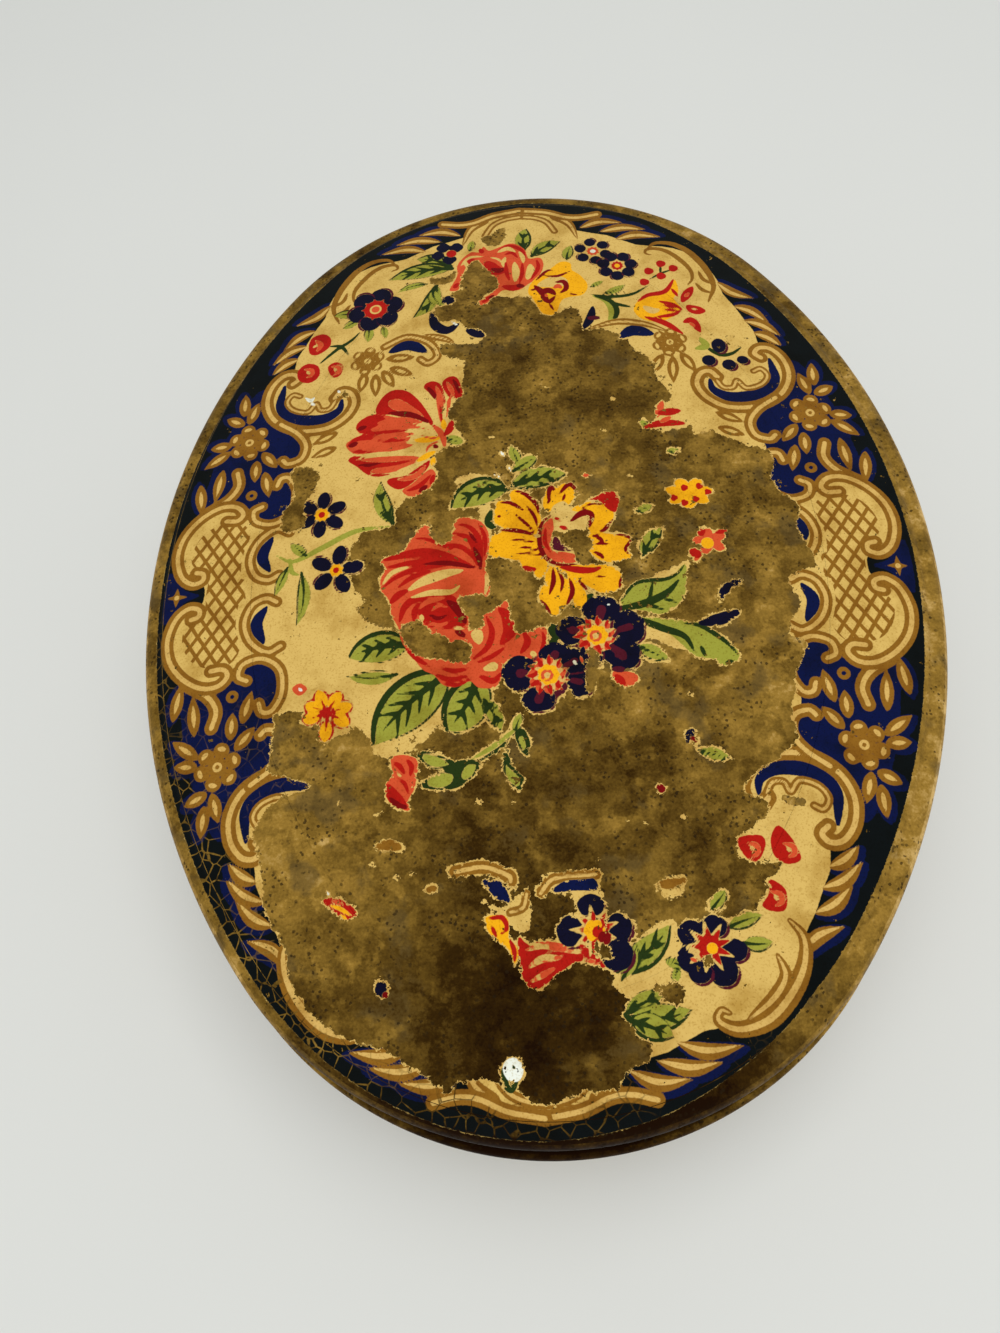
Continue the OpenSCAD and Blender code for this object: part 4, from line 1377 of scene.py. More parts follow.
    def _sprays(self, canvas: Canvas) -> None:
        """Gold flowers and hooks drawn on the pale ground."""
        motif = self.motif
        for start, stop in paths("""
            -27.6,39.8 -28.4,35.6; -25.8,39.4 -25.6,34.2; -24.6,40 -22.4,35.9; -23.4,40.4 -19,38.2;
            -24.2,42.4 -18.6,42.2; 23.4,39.6 21,35.2; 25,39.2 24.6,33.2; 26.4,39.8 28.6,35.6
        """):
            motif.lance(canvas, start, stop, Ink.CREAM, 2.0)
        for middle in path("-27.3,42.4 24.8,42.2"):
            motif.gold_flower(canvas, middle, 3.2, Ink.CREAM)
        for line in paths("-23.4,43.9 -20.2,45.1 -17,43.2; 16.4,43.6 18.8,45 22,44.1"):
            canvas.stroke(Ink.BLUE, line, 2.4, Nib.BRUSH)
        motif.scroll(canvas, path("-24.4,45.2 -20.4,46.9 -16.6,45.2 -15,42.2 -16.6,40.6 -18,41.6"), 1.6)
        motif.scroll(canvas, path("-17.4,47 -14,45.8 -12.2,44.6"), 1.5, Nib.BRUSH, True)
        motif.scroll(canvas, path("11.2,45.8 16,47.1 20.5,46.5 24.4,44.8"), 1.5, Nib.BRUSH, True)

    def _violets(self, canvas: Canvas) -> None:
        """Two dark violets under the yellow flower, and the small blue flowers on the left."""
        for middle, petals in (((8.9, -12.5), self.high_violet), ((1.4, -18.5), self.low_violet)):
            canvas.bloom(Ink.PURPLE, middle, 3.8, 5, 0.15, 20)
            for (x, y), (radius, tall) in petals:
                canvas.bloom(Ink.PURPLE, (x + 0.25, y - 0.3), radius, 5, 0.1, 30, tall)
                canvas.bloom(Ink.NAVY, (x, y), radius, 5, 0.1, 30, tall)
                vein = [(x, y), np.add((x, y), middle) / 2, middle]
                canvas.stroke(Ink.PURPLE, vein, radius * 0.5, Nib.COMMA)
            canvas.bloom(Ink.CORAL, middle, 2.9, 11, 0.25, 10)
            self.motif.rays(canvas, middle, 11, 1.2, 3.4, Ink.RED)
            self.motif.rays(canvas, (middle[0] + 0.3, middle[1] + 0.2), 8, 1.2, 2.6, Ink.PALE)
            canvas.bloom(Ink.YELLOW, (middle[0] + 0.2, middle[1] + 0.1), 1.7, 7, 0.2)
            canvas.bloom(Ink.CORAL, middle, 0.95)
            canvas.bloom(Ink.PALE, middle, 0.5)
        canvas.paint("""
            coral 0 11,-18.4 14.2,-18.8 14.6,-20 12.8,-21.2 11.6,-20.4; red 1.3 11.4,-19 12.6,-20.6;
            purple 1 10.9,-18 13,-18.2; 0.6 11.6,-16 13.4,-16.6; 0.6 4.6,-11 6,-12;
            white 0.6 5.4,-16.4 5.8,-17; 0.4 11,-7.4 11.3,-7.5; coral 0.5 6.4,-15.6 6.8,-17
        """)
        self.motif.floret(canvas, (-33.8, 11.6), 6, 2.5, 1.25, 25, (Ink.YELLOW, Ink.RED), 1.1, True)
        self.motif.floret(canvas, (-31, 1.2), 5, 2.5, 1.35, 80, (Ink.YELLOW, Ink.RED), 1.0, True)

    def _top_group(self, canvas: Canvas) -> None:
        """Pansy, daisies, buds and berries of the upper garland."""
        motif = self.motif
        motif.floret(canvas, (-26.3, 54.3), 6, 3.1, 1.95, 15, (Ink.RED, Ink.CREAM), 2.1)
        canvas.bloom(Ink.CORAL, (-26.3, 54.3), 0.75)
        motif.floret(canvas, (13, 64.6), 6, 2.4, 1.05, 40, (Ink.CORAL, Ink.WHITE), 0.95)
        motif.floret(canvas, (17.1, 60.6), 7, 2.5, 1.15, 10, (Ink.RED, Ink.YELLOW), 0.95)
        for x, y, radius in (
            (-14.2, 68.3, 1.3), (-11.8, 68, 1.3), (-15.2, 66.3, 1.2), (-13, 65, 1.3), (-13.2, 54.6, 1.2)
        ):
            canvas.bloom(Ink.NAVY, (x, y), radius, 4, 0.15)
        canvas.bloom(Ink.RED, (-12.7, 66.5), 0.95)
        canvas.paint("""
            yellow 0 1,55.4 2.4,58.4 5,60.4 7,62.2 8.8,61.8 9,60 10.4,58.6 11.6,56 10.6,53.8 8.4,53.4
            6.8,52.6 5.6,49.6 3.4,49.9 2.2,52.6; cream 0 2.6,56.6 5,58.6 7.6,58.2 8,56.4 5,56;
            crimson 1.3 2.2,56.6 3.4,55 4.4,53; 1.3 3.4,55.4 4.8,55.2 5.8,54.2;
            1 5.8,57.1 7.4,57.2 7.8,55.6 6.6,54.4; 0.9 3.2,53.8 4.6,52.6 5.8,53.8;
            coral 1 5.6,55.8 6.4,56.2 6.9,55.6; 0.6 4,54.4 4.4,53.8; crimson 0.6 2.4,57.8 4.4,60 6,60.4;
            0.6 3.6,58.8 6.4,58.7 8.8,59.8; 0.5 4.6,52.2 5.4,50.4; 0.5 8,54.4 9.6,53.8;
            0.5 1.4,55.8 2.4,55.4;
            red 0 -38.2,47.6 -37.6,49.4 -35.6,49.9 -34.2,48.6 -34.4,46.6 -36.4,45.2 -37.8,45.6;
            coral 1 -37,48.6 -36,47.4 -36.6,46; cream 0.5 -37.4,47 -36.6,47.6
        """)
        for middle in path("22.6,59 24.9,60.8 27,59.6 24.7,57.7 21.6,56.3"):
            canvas.bloom(Ink.RED, middle, 0.9, 3, 0.15)
        berries = paths("33,41.2 1.25,1.25; 31,38 1.2,0.95; 34.3,37 1.2,0.95; 36.7,38 1,0.9")
        for (x, y), (radius, tall) in berries:
            canvas.bloom(Ink.PURPLE, (x + 0.35, y - 0.35), radius, tall=tall)
            canvas.bloom(Ink.NAVY, (x, y), radius, tall=tall)
        for *outline, heart in self.upper_buds:
            motif.bud(canvas, outline, heart)

    def _garland(self, canvas: Canvas) -> None:
        """Lower garland: hooks, ribbon, violets and buds."""
        motif = self.motif
        motif.scroll(canvas, path("-12.4,-46.9 -8.6,-46.4 -5.2,-47.6 -4.8,-48.4"), 1.8, Nib.EVEN, True)
        motif.scroll(canvas, path("-0.8,-50.2 1.2,-48.3 6.8,-47.9"), 1.5, Nib.EVEN, True)
        motif.scroll(canvas, path("-5,-52.6 -3.2,-52 -2.7,-50.2"), 1.2, Nib.EVEN, True)
        canvas.paint("""
            blue 0 -8.7,-48.1 -6.2,-48.4 -5.4,-49.6 -4.9,-51.2 -6.2,-51.1 -7.5,-50;
            0 0.7,-50.1 2.4,-48.7 5,-48.5 6.6,-48.5 6.9,-50 4,-50; yellow 0 -8.5,-53.5 -7.7,-52.9 -5.6,-53.1
            -5.2,-54.6 -5.3,-56 -4,-57.4 -4.5,-59.4 -5.3,-57.4 -6.6,-56.4 -8,-55;
            red 0.7 -8.3,-53.4 -6.2,-53.2 -5.5,-54.6 -6.4,-55.4; 0.6 -7.6,-54.2 -6.9,-55.8;
            0.7 -5.2,-56 -4.6,-57.6 -4.6,-59;
            0 -4,-55.8 -2.7,-56.8 -0.6,-56.3 2.3,-57 5.5,-57.6 7.5,-60.2 5.9,-59.7 3.7,-59.2 1.6,-60.4
            -0.6,-62 -2.4,-62.6 -3.6,-61 -4,-58.9; coral 1.1 -3,-57.5 -0.6,-57 2.2,-57.5 4.6,-58.2;
            1 -2.8,-59.8 -0.8,-58.7 1.8,-58.7; 0.8 -2.6,-61.6 -1,-60.8 0.8,-59.9; 0.6 4.6,-58.9 6.6,-59.6;
            pale 0.5 -2.6,-57.6 -1.2,-57.1 0,-57.1; 0.7 -2.3,-59.5 -0.8,-58.6 0.6,-58.6;
            0.5 2.4,-57.6 4.4,-58.1; 0.4 -2.2,-61.4 -1.2,-60.9
        """)
        for middle, petals, eye in (
            ((6.2, -55.3), self.left_violet, (Ink.YELLOW, Ink.RED)),
            ((21.2, -57.8), self.right_violet, (Ink.RED, Ink.YELLOW)),
        ):
            for (x, y), (radius, tall) in petals:
                canvas.bloom(Ink.PURPLE, (x + 0.3, y - 0.3), radius, tall=tall)
                canvas.bloom(Ink.NAVY, (x, y), radius, 5, 0.06, 20, tall)
            motif.rays(canvas, middle, 9, 1.2, 3.4, Ink.CREAM)
            motif.rays(canvas, (middle[0] + 0.2, middle[1]), 9, 0.9, 2.6, Ink.RED)
            canvas.bloom(eye[0], middle, 1.5, 6, 0.2)
            canvas.bloom(eye[1], (middle[0] + 0.4, middle[1] - 0.2), 0.75)
        canvas.bloom(Ink.CRIMSON, (7.5, -56.3), 0.95, 6, 0.2)
        canvas.paint("pale 0.7 18.2,-58.2 19.2,-58.4 19.8,-59.4; coral 0.5 18.6,-59.2 19.4,-59.6")
        for *outline, heart in self.lower_buds:
            motif.bud(canvas, outline, heart)
        canvas.paint("""
            green 1 -6.6,-72 -6.3,-73.6 -5.6,-74.6 -4.7,-73.6;
            white 0 -6.6,-72.2 -6,-71 -4.6,-70.9 -3.9,-72.2 -4.4,-73.5 -5.8,-73.6;
            green 0.45 -5.3,-71.8 -5,-72.1
        """)

    def _remnants(self, canvas: Canvas) -> None:
        """Scraps of flowers that are left in the worn middle."""
        canvas.paint("""
            navy 2 -16.2,52 -15.4,49 -13.4,47.6 -11.4,48.8; 1.9 -9.9,47.4 -8.6,46.6 -7,45.6;
            white 0.5 -12.6,49.6 -11.4,48.4; navy 1.6 10.2,45.8 11.6,48.2 12.2,50.8;
            purple 1 11,48.2 13.4,48.2; coral 1.3 21.2,26.4 22.4,29.6; red 1.5 21.4,27.2 25.2,27.6;
            1.4 18.8,24.4 22,25.2 25.8,25; coral 0.9 21.6,25.4 23.6,26.4;
            navy 1.6 27.8,-7.4 29.2,-5.4 31.6,-4.2; 2 24.4,-11.2 27.6,-10.6 30.6,-9.4;
            1.4 20.8,-29.8 21.8,-27.6; crimson 0.9 21.4,-29 22.2,-29.6; 1.2 16.2,-36 17,-36.6;
            red 0 -31,-50 -29.4,-49.6 -27.4,-50.4 -26,-52 -27.4,-52.8 -29,-51.8;
            yellow 0.6 -30,-50.6 -28.4,-51.2 -26.8,-52.2; 0.5 -28.6,-52 -27.4,-52.6;
            coral 0.5 -29.8,-50 -28,-50.6; navy 1.7 -22.6,-61 -22.6,-62.8; crimson 0.9 -22,-62.4 -22,-63;
            ochre 1.7 -23.6,-43 -21.6,-42.8 -20,-43.2; cream 1.2 15,-50.4 17,-50.8 18.6,-50;
            ochre 1.5 15,-49.6 17,-49.4 19,-49; 1 -16.4,-49.2 -15,-49; coral 0.9 8.6,16 9.6,15.6;
            0.9 25.6,0.8 24.8,-0.6
        """)
        for x, y in path("""
            -20.6,-47.2 -18.2,-47 -15.4,-45.6 -4,-37.6 -9,-37.2 -23.4,-38.4 7,-46 11.4,-40.6 19.4,-40.2
            -29,-36.4 22,-22.4 14,-41.2 3.4,33.6 14.2,30.4 12.4,24.2 -6.2,24.4 16,15.2 -24,-45.6
        """):
            canvas.stroke(Ink.CREAM, [(x - 0.2, y), (x, y + 0.1), (x + 0.3, y)], 0.1)
        canvas.paint("""
            white 0.5 -4.6,21.4 -4,20.4; 0.5 -5.8,17.2 -4.8,16.4; 0.4 -3.4,18.4 -3,17.4;
            pale 0.7 -7.4,-1 -7.2,-3 -7.6,-4.8; white 0.4 -30.6,-48.8 -30,-49.2
        """)
        canvas.bloom(Ink.YELLOW, (25, 11.6), 3.8, 7, 0.4, 10, 0.75)
        for middle in path("22.6,10.8 24.4,12.6 26,10.4 26.8,12.8 24.2,9.8 28,11.6"):
            canvas.bloom(Ink.RED, middle, 0.65, 3, 0.3)
        canvas.bloom(Ink.CORAL, (27.4, 2.8), 2.7, 5, 0.6, 30, 0.9)
        canvas.paint("red 1.6 24.4,1.2 25.6,0.2; 0.9 28.4,4.2 30.4,4.6; 1.2 26.6,5.2 26,3.8")
        canvas.bloom(Ink.YELLOW, (27, 2.4), 1.0)
        star = (-31.4, -22.8)
        for ink, grow in ((Ink.RED, 0.35), (Ink.YELLOW, 0.0)):
            for near, far in self.star_rays:
                middle = np.add(near, far) / 2
                canvas.stroke(ink, [near, middle, far], 1.9 + 2 * grow, Nib.LEAF)
                canvas.stroke(Ink.RED, [star, near, middle], 0.6, Nib.COMMA)
        canvas.bloom(Ink.RED, star, 0.8, 5, 0.4)
        canvas.paint("""
            coral 0 -37,-18.4 -35.8,-17.6 -34.6,-18.6 -35.8,-19.6; white 0.5 -36,-18.4 -35.4,-18.8; coral 0
            -21.6,-30.2 -19.6,-29.8 -17.6,-30.8 -17.8,-32.8 -18.2,-35 -19.1,-36.6 -18.8,-38 -20.4,-37.6
            -22,-36.2 -22.4,-34.2 -21.4,-32.6; red 0.8 -21.4,-30.8 -20.4,-31.4 -19.6,-32.6;
            0.8 -19.4,-30.4 -18.6,-31.6 -18.8,-33; 1.9 -22,-34.2 -21.2,-35.8 -19.4,-37.6;
            crimson 0.9 -21.8,-36 -20.4,-37.2 -19,-37.6; red 0.6 -20.8,-33.2 -19.6,-34 -19,-35.6;
            pale 0.4 -20.8,-32.2 -20,-33.2; white 0.7 -38,35.8 -37,35 -36.4,35.6; 0.6 -37,34.4 -36.2,34;
            0.5 -32.4,36.6 -31.8,36
        """)


@dataclass(frozen=True)
class Wear:
    """Where the print is rubbed through to the brass."""

    hold: float = 0.15
    deepest: float = 4.0
    worn: Path = path("""
        -9,57 -4,54.5 1,54 3,52 6,49.5 8.5,51.5 10,49 11,46.5 14,45.5 17,43.5 19,40.5 21.5,37.5 22,34 24,31
        22.5,28.5 20,25 22,23.5 26.5,24.5 27,22.5 30,23.5 33,21.5 36,20 38.5,19.2 39,17 38.5,14.5 39,12
        41,10 42,8 41,6 41.5,3.5 42.5,1 43,-2 39,-3.5 38.5,-5 40,-8 38,-11.5 37.5,-13.5 40,-15 38.5,-17.5
        37.5,-20 37,-23.5 36,-26 36.5,-29.5 33,-32.5 29.5,-34.5 28,-37 31,-38.5 30.5,-40.5 27,-43 26,-45
        28,-47 32,-47 30,-50 28,-53 25,-54.5 20,-54 16.5,-56.5 17,-59 14,-62 17,-64.5 13,-69 12,-71.5 9,-73
        8,-75 4,-75 0,-76.5 -3,-76 -5,-74.5 -9,-73.5 -12.5,-73.5 -14,-75 -16,-73 -19,-71.5 -22,-69.5 -27,-68
        -30,-66.5 -33,-63.5 -35.5,-60 -36,-56 -38,-53.5 -39.5,-50 -40,-46 -40.5,-43 -41.5,-40 -40,-37
        -38,-35.2 -33.5,-34 -34,-33 -38,-31.8 -40,-31 -39.5,-28 -39.5,-23 -38.5,-22.3 -36,-22 -34,-23.5
        -31,-26.5 -27,-25.5 -25,-26.5 -24,-29.5 -21,-30 -17,-28 -12,-22 -14,-14 -22,-10 -25,-8.5 -27.5,-6
        -26,-4.5 -28,-2 -29.5,2 -28.5,5 -26,8.5 -22.5,8 -21.5,11 -20,13.5 -16.5,14.5 -15,18.5 -16,21 -13,23
        -11,25.5 -12.5,27 -13,30 -11.5,33 -10.5,37 -10.5,40.5 -14,42 -14.5,44.5 -10,44 -7,45 -10.5,48.5
        -12,50 -14,49.5 -16.5,51.5 -15.5,54.5 -13,56
    """)
    holes: Sequence[Path] = paths("""
        -20.3,-9.4 -17.3,-8.8 -15.7,-10.7 -13.7,-11.4 -12.7,-12.4 -10.4,-12.4 -9.8,-15 -11.7,-15.7
        -14.3,-15.2 -17,-14.6 -19.6,-12.8; -8,-4.6 -9.7,-4.6 -11.6,-5.2 -11.2,-7 -10,-8.7 -10,-10.2 -8,-10.2
        -7.8,-8.1 -5.7,-7 -4.3,-6 -3.3,-9.2 -2.4,-11.5 0.6,-10.2 1,-8 0.5,-6.3 0.6,-4.3 1.6,-3 -1,-1.7
        -2.3,0 -4,0.9 -5.3,-0.3 -6.6,-2.7 -7,-4.6;
        -15.9,7.6 -15.7,5.6 -14.4,4.7 -12.8,5.4 -12.6,8 -13.8,9.6;
        6.6,6 8.3,5 9.4,3.3 8.3,1 6.7,0.4 6.2,2.3 4.9,4 5.2,5.3;
        -9,63.4 -7.8,63.8 -6.4,61.4 -5,59.6 -4.2,57.6 -5.6,55.8 -8,54.4 -10.6,57 -10.8,60;
        -7.6,69.6 -6,68 -4,67.8 -2.8,70 -2.8,72.6 -4.6,71.4 -5.4,70.6 -6.6,70.6;
        -39.5,20.5 -36,21 -34.5,18.5 -36,15.5 -37,13 -36.5,9.6 -40,9.2 -40.4,12 -38.6,16;
        7.6,-15 9,-15.4 8.6,-20.6 7.2,-21; 14.4,-62.2 17.2,-62.6 17.4,-64.6 15.4,-64.4 14.6,-63.6;
        -16.4,60.6 -13.4,60.6 -12,62 -12,60 -13.4,58.8 -15.6,59; 33.6,-38 36.4,-38.2 36.2,-39.2 34.2,-39;
        20.4,-59.2 21.4,-59 21.4,-60 20.4,-60; 7,-57.2 8.2,-57.4 8,-58.8 6.6,-58.2;
        -31.6,36.2 -30.4,35.6 -31,34.8
    """)

    def coat_left(self, canvas: Canvas) -> np.ndarray:
        """Depth of coat left at each vertex.

        It is the distance to the worn outline, raised by the motifs that hold on with a pale rim,
        and lowered again in the holes.
        """
        left = np.maximum(-canvas.inside(self.worn, 2), canvas.kept + self.hold)
        for hole in self.holes:
            left = np.minimum(left, -canvas.inside(hole, 3))
        return np.clip(left, -self.deepest, self.deepest)


@dataclass(frozen=True)
class TarnishAndShade:
    """Broad darker and brighter patches of the bare metal, soft round spots added up: tarnished and
    brighter metal, and painted shade that darkens the bottom end.
    """

    # Spots: place, radius and rub. The two dark spots at the bottom end, at y -68 and -60, are painted
    # shade, a dark reflection.
    spots: Sequence[Path] = paths("""
        0,-68 18,-0.36; -14,-60 12,-0.14; 5,40 15,-0.1; -6,-38 16,-0.14; 12,-34 12,-0.08; -38,-42 9,0.12;
        33,-9 8,0.12; 2,35 4,0.22; 8,18 7,0.08; 28,-22 9,0.06; -24,-48 12,0.05; 14,-24 7,0.1; 20,40 8,-0.05;
        -28,-30 8,0.08; 16,30 8,-0.06
    """)

    def field(self, x: np.ndarray, y: np.ndarray) -> np.ndarray:
        """Sum of the spots, each falling off as a bell curve of its radius."""
        across, along, radius, rub = np.reshape(self.spots, (-1, 4)).T[:, :, None]
        return (rub * np.exp(-((x - across) ** 2 + (y - along) ** 2) / radius**2)).sum(0)


@dataclass
class Lid:
    """Pressed lid: crowned panel, step, rim, shoulder, skirt and curl, with its print."""

    oval: Oval
    crown_top: float
    skirt_bottom: float
    sheet: float = 0.4
    shoulder: float = 2.2
    rim: float = 0.7
    step: float = 0.6
    step_height: float = 0.5
    crown_rise: float = 3.1
    flat_end: float = 4.0
    curl: float = 1.1
    curl_mouth: float = 0.35
    columns: int = 440
    crown_rows: int = 60
    step_rows: int = 10
    bend_rows: int = 12
    curl_rows: tuple[int, int] = (22, 26)
    border_grid: tuple[int, int] = (1500, 64)
    panel_grid: tuple[int, int] = (262, 366)
    skirt_share: float = 0.4
    shoulder_rub: float = 0.14
    shoulder_low: float = 0.5
    shoulder_reach: float = 0.9
    curl_rub: float = 0.1
    curl_out: float = 0.9
    skirt_rub: float = 0.05
    skirt_start: float = 3.0
    print_lift: float = 0.02
    print_edge: float = 0.8
    panel_edge: float = 18.0
    panel_lap: float = 0.15
    rim_fade: float = 0.5

    # By the facing angle: inset of the print's edge, and rub of the rim with its painted shade and
    # highlight
    dark_edge: Path = path("""
        0,4 30,4.6 50,4.4 70,2.9 90,2.5 110,2.9 140,4 170,2.7 200,2.2 230,1.7 255,1.1 270,1.2 285,2 300,3.2
        315,4.1 360,4
    """)
    # Rim rub below 0 from 230 to 310 degrees, towards the bottom, is painted shade, a dark reflection;
    # above 0 from 325 to 360 degrees, at the lower right, it is painted highlight on rubbed metal.
    rim_rub_and_shade: Path = path("""
        0,0.16 20,0.04 60,0.02 90,-0.04 140,-0.06 180,0.02 200,0.08 215,0.1 230,-0.16 245,-0.4 260,-0.6
        280,-0.58 295,-0.4 310,-0.08 325,0.12 345,0.2 360,0.16
    """)

    @property
    def rim_top(self) -> float:
        """Height of the flat rim."""
        return self.crown_top - self.crown_rise - self.step_height

    @property
    def crown_foot(self) -> float:
        """Inset at which the crown starts."""
        return self.shoulder + self.rim + self.step

    @property
    def flat_edge(self) -> float:
        """Inset at which the crown is level."""
        return self.oval.end_radius - self.flat_end

    def height(self, inset: np.ndarray, drop: float = 0.0) -> np.ndarray:
        """Height of the lid's face over its inset.

        The shoulder is a quarter circle, then come the flat rim, a sloped step, and a crown that
        is an arc of a large circle, level at flat_edge.

        Args:
            inset: distance inside the oval.
            drop: sheet thickness, for the lower face.

        Returns:
            Heights.
        """
        width = self.flat_edge - self.crown_foot
        radius = (width**2 + self.crown_rise**2) / (2 * self.crown_rise)
        arch = np.sqrt((radius - drop) ** 2 - np.clip(self.flat_edge - inset, 0, width) ** 2)
        crown = self.crown_top - radius + arch
        slope = np.clip((inset - self.shoulder - self.rim) / self.step, 0, 1)
        panel = np.where(inset < self.crown_foot, self.rim_top - drop + self.step_height * slope, crown)
        corner = np.clip(self.shoulder - inset, 0, self.shoulder - drop)
        bend = np.sqrt((self.shoulder - drop) ** 2 - corner**2)
        return np.where(inset < self.shoulder, self.rim_top - self.shoulder + bend, panel)

    def _face(self, drop: float) -> np.ndarray:
        """Section of a face from the middle out to the skirt: offset, height, shrink."""
        angles = np.radians(np.linspace(90, 0, self.bend_rows))
        inset = np.concatenate([
            np.linspace(self.oval.end_radius - self.flat_end / 2, self.crown_foot, self.crown_rows),
            np.linspace(self.crown_foot, self.shoulder, self.step_rows)[1:-1],
            self.shoulder - (self.shoulder - drop) * np.cos(angles),
        ])
        return capped(np.stack([-inset, self.height(inset, drop), np.ones_like(inset)], -1))

    def section(self) -> np.ndarray:
        """Section of the shell, from the middle of its top round the curl to that of its under side."""
        inner = self.curl - self.sheet
        height = self.skirt_bottom + self.curl
        mouth_in = math.degrees(math.acos((self.curl_mouth - inner) / inner))
        mouth_out = math.degrees(math.acos((self.curl_mouth - inner) / self.curl))
        inside, outside = self.curl_rows
        roll = np.concatenate([
            arc(inner, height, inner, 180, 360 + mouth_in, inside),
            arc(inner, height, self.curl, mouth_out, -180, outside),
        ])
        return np.concatenate([self._face(0), unshrunk(roll), self._face(self.sheet)[::-1]])

    def build(self) -> bpy.types.Object:
        """Makes the lid's shell, rubbed bright on the shoulder and the curl, with the rim's painted shade
        and highlight by facing angle.
        """
        section = self.section()
        turns = self.oval.turns(self.columns)
        shell = skin("lid_shell", self.oval.sweep(section, turns))
        offset, height = section[:, 0], section[:, 1]
        edge = np.exp(-(((height - self.rim_top + self.shoulder_low) / self.shoulder_reach) ** 2))
        rub = self.shoulder_rub * edge * (offset > -self.shoulder)
        rub = rub + self.curl_rub * (offset > self.curl_out)
        rub = rub + self.skirt_rub * (height < self.rim_top - self.skirt_start)
        # worn is the rim's rub by facing angle: painted shade towards the bottom and painted highlight at
        # the lower right, over the rubbed metal; it is weaker on the skirt.
        worn = np.interp(np.degrees(turns), *np.transpose(self.rim_rub_and_shade))
        skirt = (height < self.rim_top - self.shoulder) & (height > self.skirt_bottom + 2 * self.curl)
        share = np.where(skirt, self.skirt_share, 1.0)
        give(shell.data, "rub", rub[:, None] + share[:, None] * worn)
        close_shell(shell)
        shell.data.materials.append(BareShell().material())
        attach(shell, "lid")
        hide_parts("lid")
        return shell

    def printed(self) -> list[bpy.types.Object]:
        """Makes the print as two skins that lie on the panel: the border and the picture inside it."""
        material = PrintedCoat().material()
        made = []
        for name, grid, ring in (
            ("lid_print_border", self._border_grid(*self.border_grid), True),
            ("lid_print_panel", self._panel_grid(*self.panel_grid), False),
        ):
            x, y = grid[..., 0].ravel(), grid[..., 1].ravel()
            piece = skin(name, grid, ring)
            canvas = self.draw(x, y)
            for ink in Ink:
                give(piece.data, ink.stored, canvas.ink[ink])
            give(piece.data, "lattice", BorderDrawing().lattice(canvas))
            give(piece.data, "coat_left", Wear().coat_left(canvas))
            # Near the print's edge the bare brass takes the rim's rub, with its painted shade and
            # highlight, in place of the spots of tarnish and shade.
            worn = np.interp(self.oval.facing(x, y), *np.transpose(self.rim_rub_and_shade))
            rim = np.clip(1 - canvas.ink[Ink.DARK] / self.rim_fade, 0, 1)
            give(piece.data, "tarnish_and_shade", TarnishAndShade().field(x, y) * (1 - rim) + worn * rim)
            piece.data.materials.append(material)
            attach(piece, "lid")
            made.append(piece)
        return made

    def draw(self, x: np.ndarray, y: np.ndarray) -> Canvas:
        """Draws the whole print at the given places."""
        canvas = Canvas(x, y)
        edge = self.oval.inset(x, y) - np.interp(self.oval.facing(x, y), *np.transpose(self.dark_edge))
        canvas.ink[Ink.DARK] = np.maximum(edge, canvas.bare)
        BorderDrawing().draw(canvas)
        BouquetDrawing().draw(canvas)
        return canvas

    def _on_top(self, plan: np.ndarray) -> np.ndarray:
        """Points of a plan lifted onto the lid's face."""
        height = self.height(self.oval.inset(plan[..., 0], plan[..., 1])) + self.print_lift
        return np.concatenate([plan, height[..., None]], -1)

    def _border_grid(self, columns: int, rows: int) -> np.ndarray:
        """Ring of the print: insets along the rows, from the picture's edge outwards."""
        base, normal = self.oval.around(self.oval.turns(columns))
        inset = np.linspace(self.panel_edge + self.panel_lap, self.print_edge, rows)
        return self._on_top(base - inset[:, None, None] * normal)

    def _panel_grid(self, columns: int, rows: int) -> np.ndarray:
        """Middle of the print, over a square of u and v.

        The square goes to a disc by x = u sqrt(1 - v v / 2), y = v sqrt(1 - u u / 2), and the disc
        is stretched along each plan angle to the oval.
        """
        v, u = np.meshgrid(np.linspace(-1, 1, columns), np.linspace(-1, 1, rows))
        disc_x, disc_y = u * np.sqrt(1 - v**2 / 2), v * np.sqrt(1 - u**2 / 2)
        wide, long = self.oval.half_width - self.panel_edge, self.oval.half_length - self.panel_edge
        angle = np.arctan2(disc_y * long, disc_x * wide)
        reach = np.hypot(disc_x, disc_y) * self.oval.reach(angle, self.panel_edge)
        return self._on_top(np.stack([reach * np.cos(angle), reach * np.sin(angle)], -1))


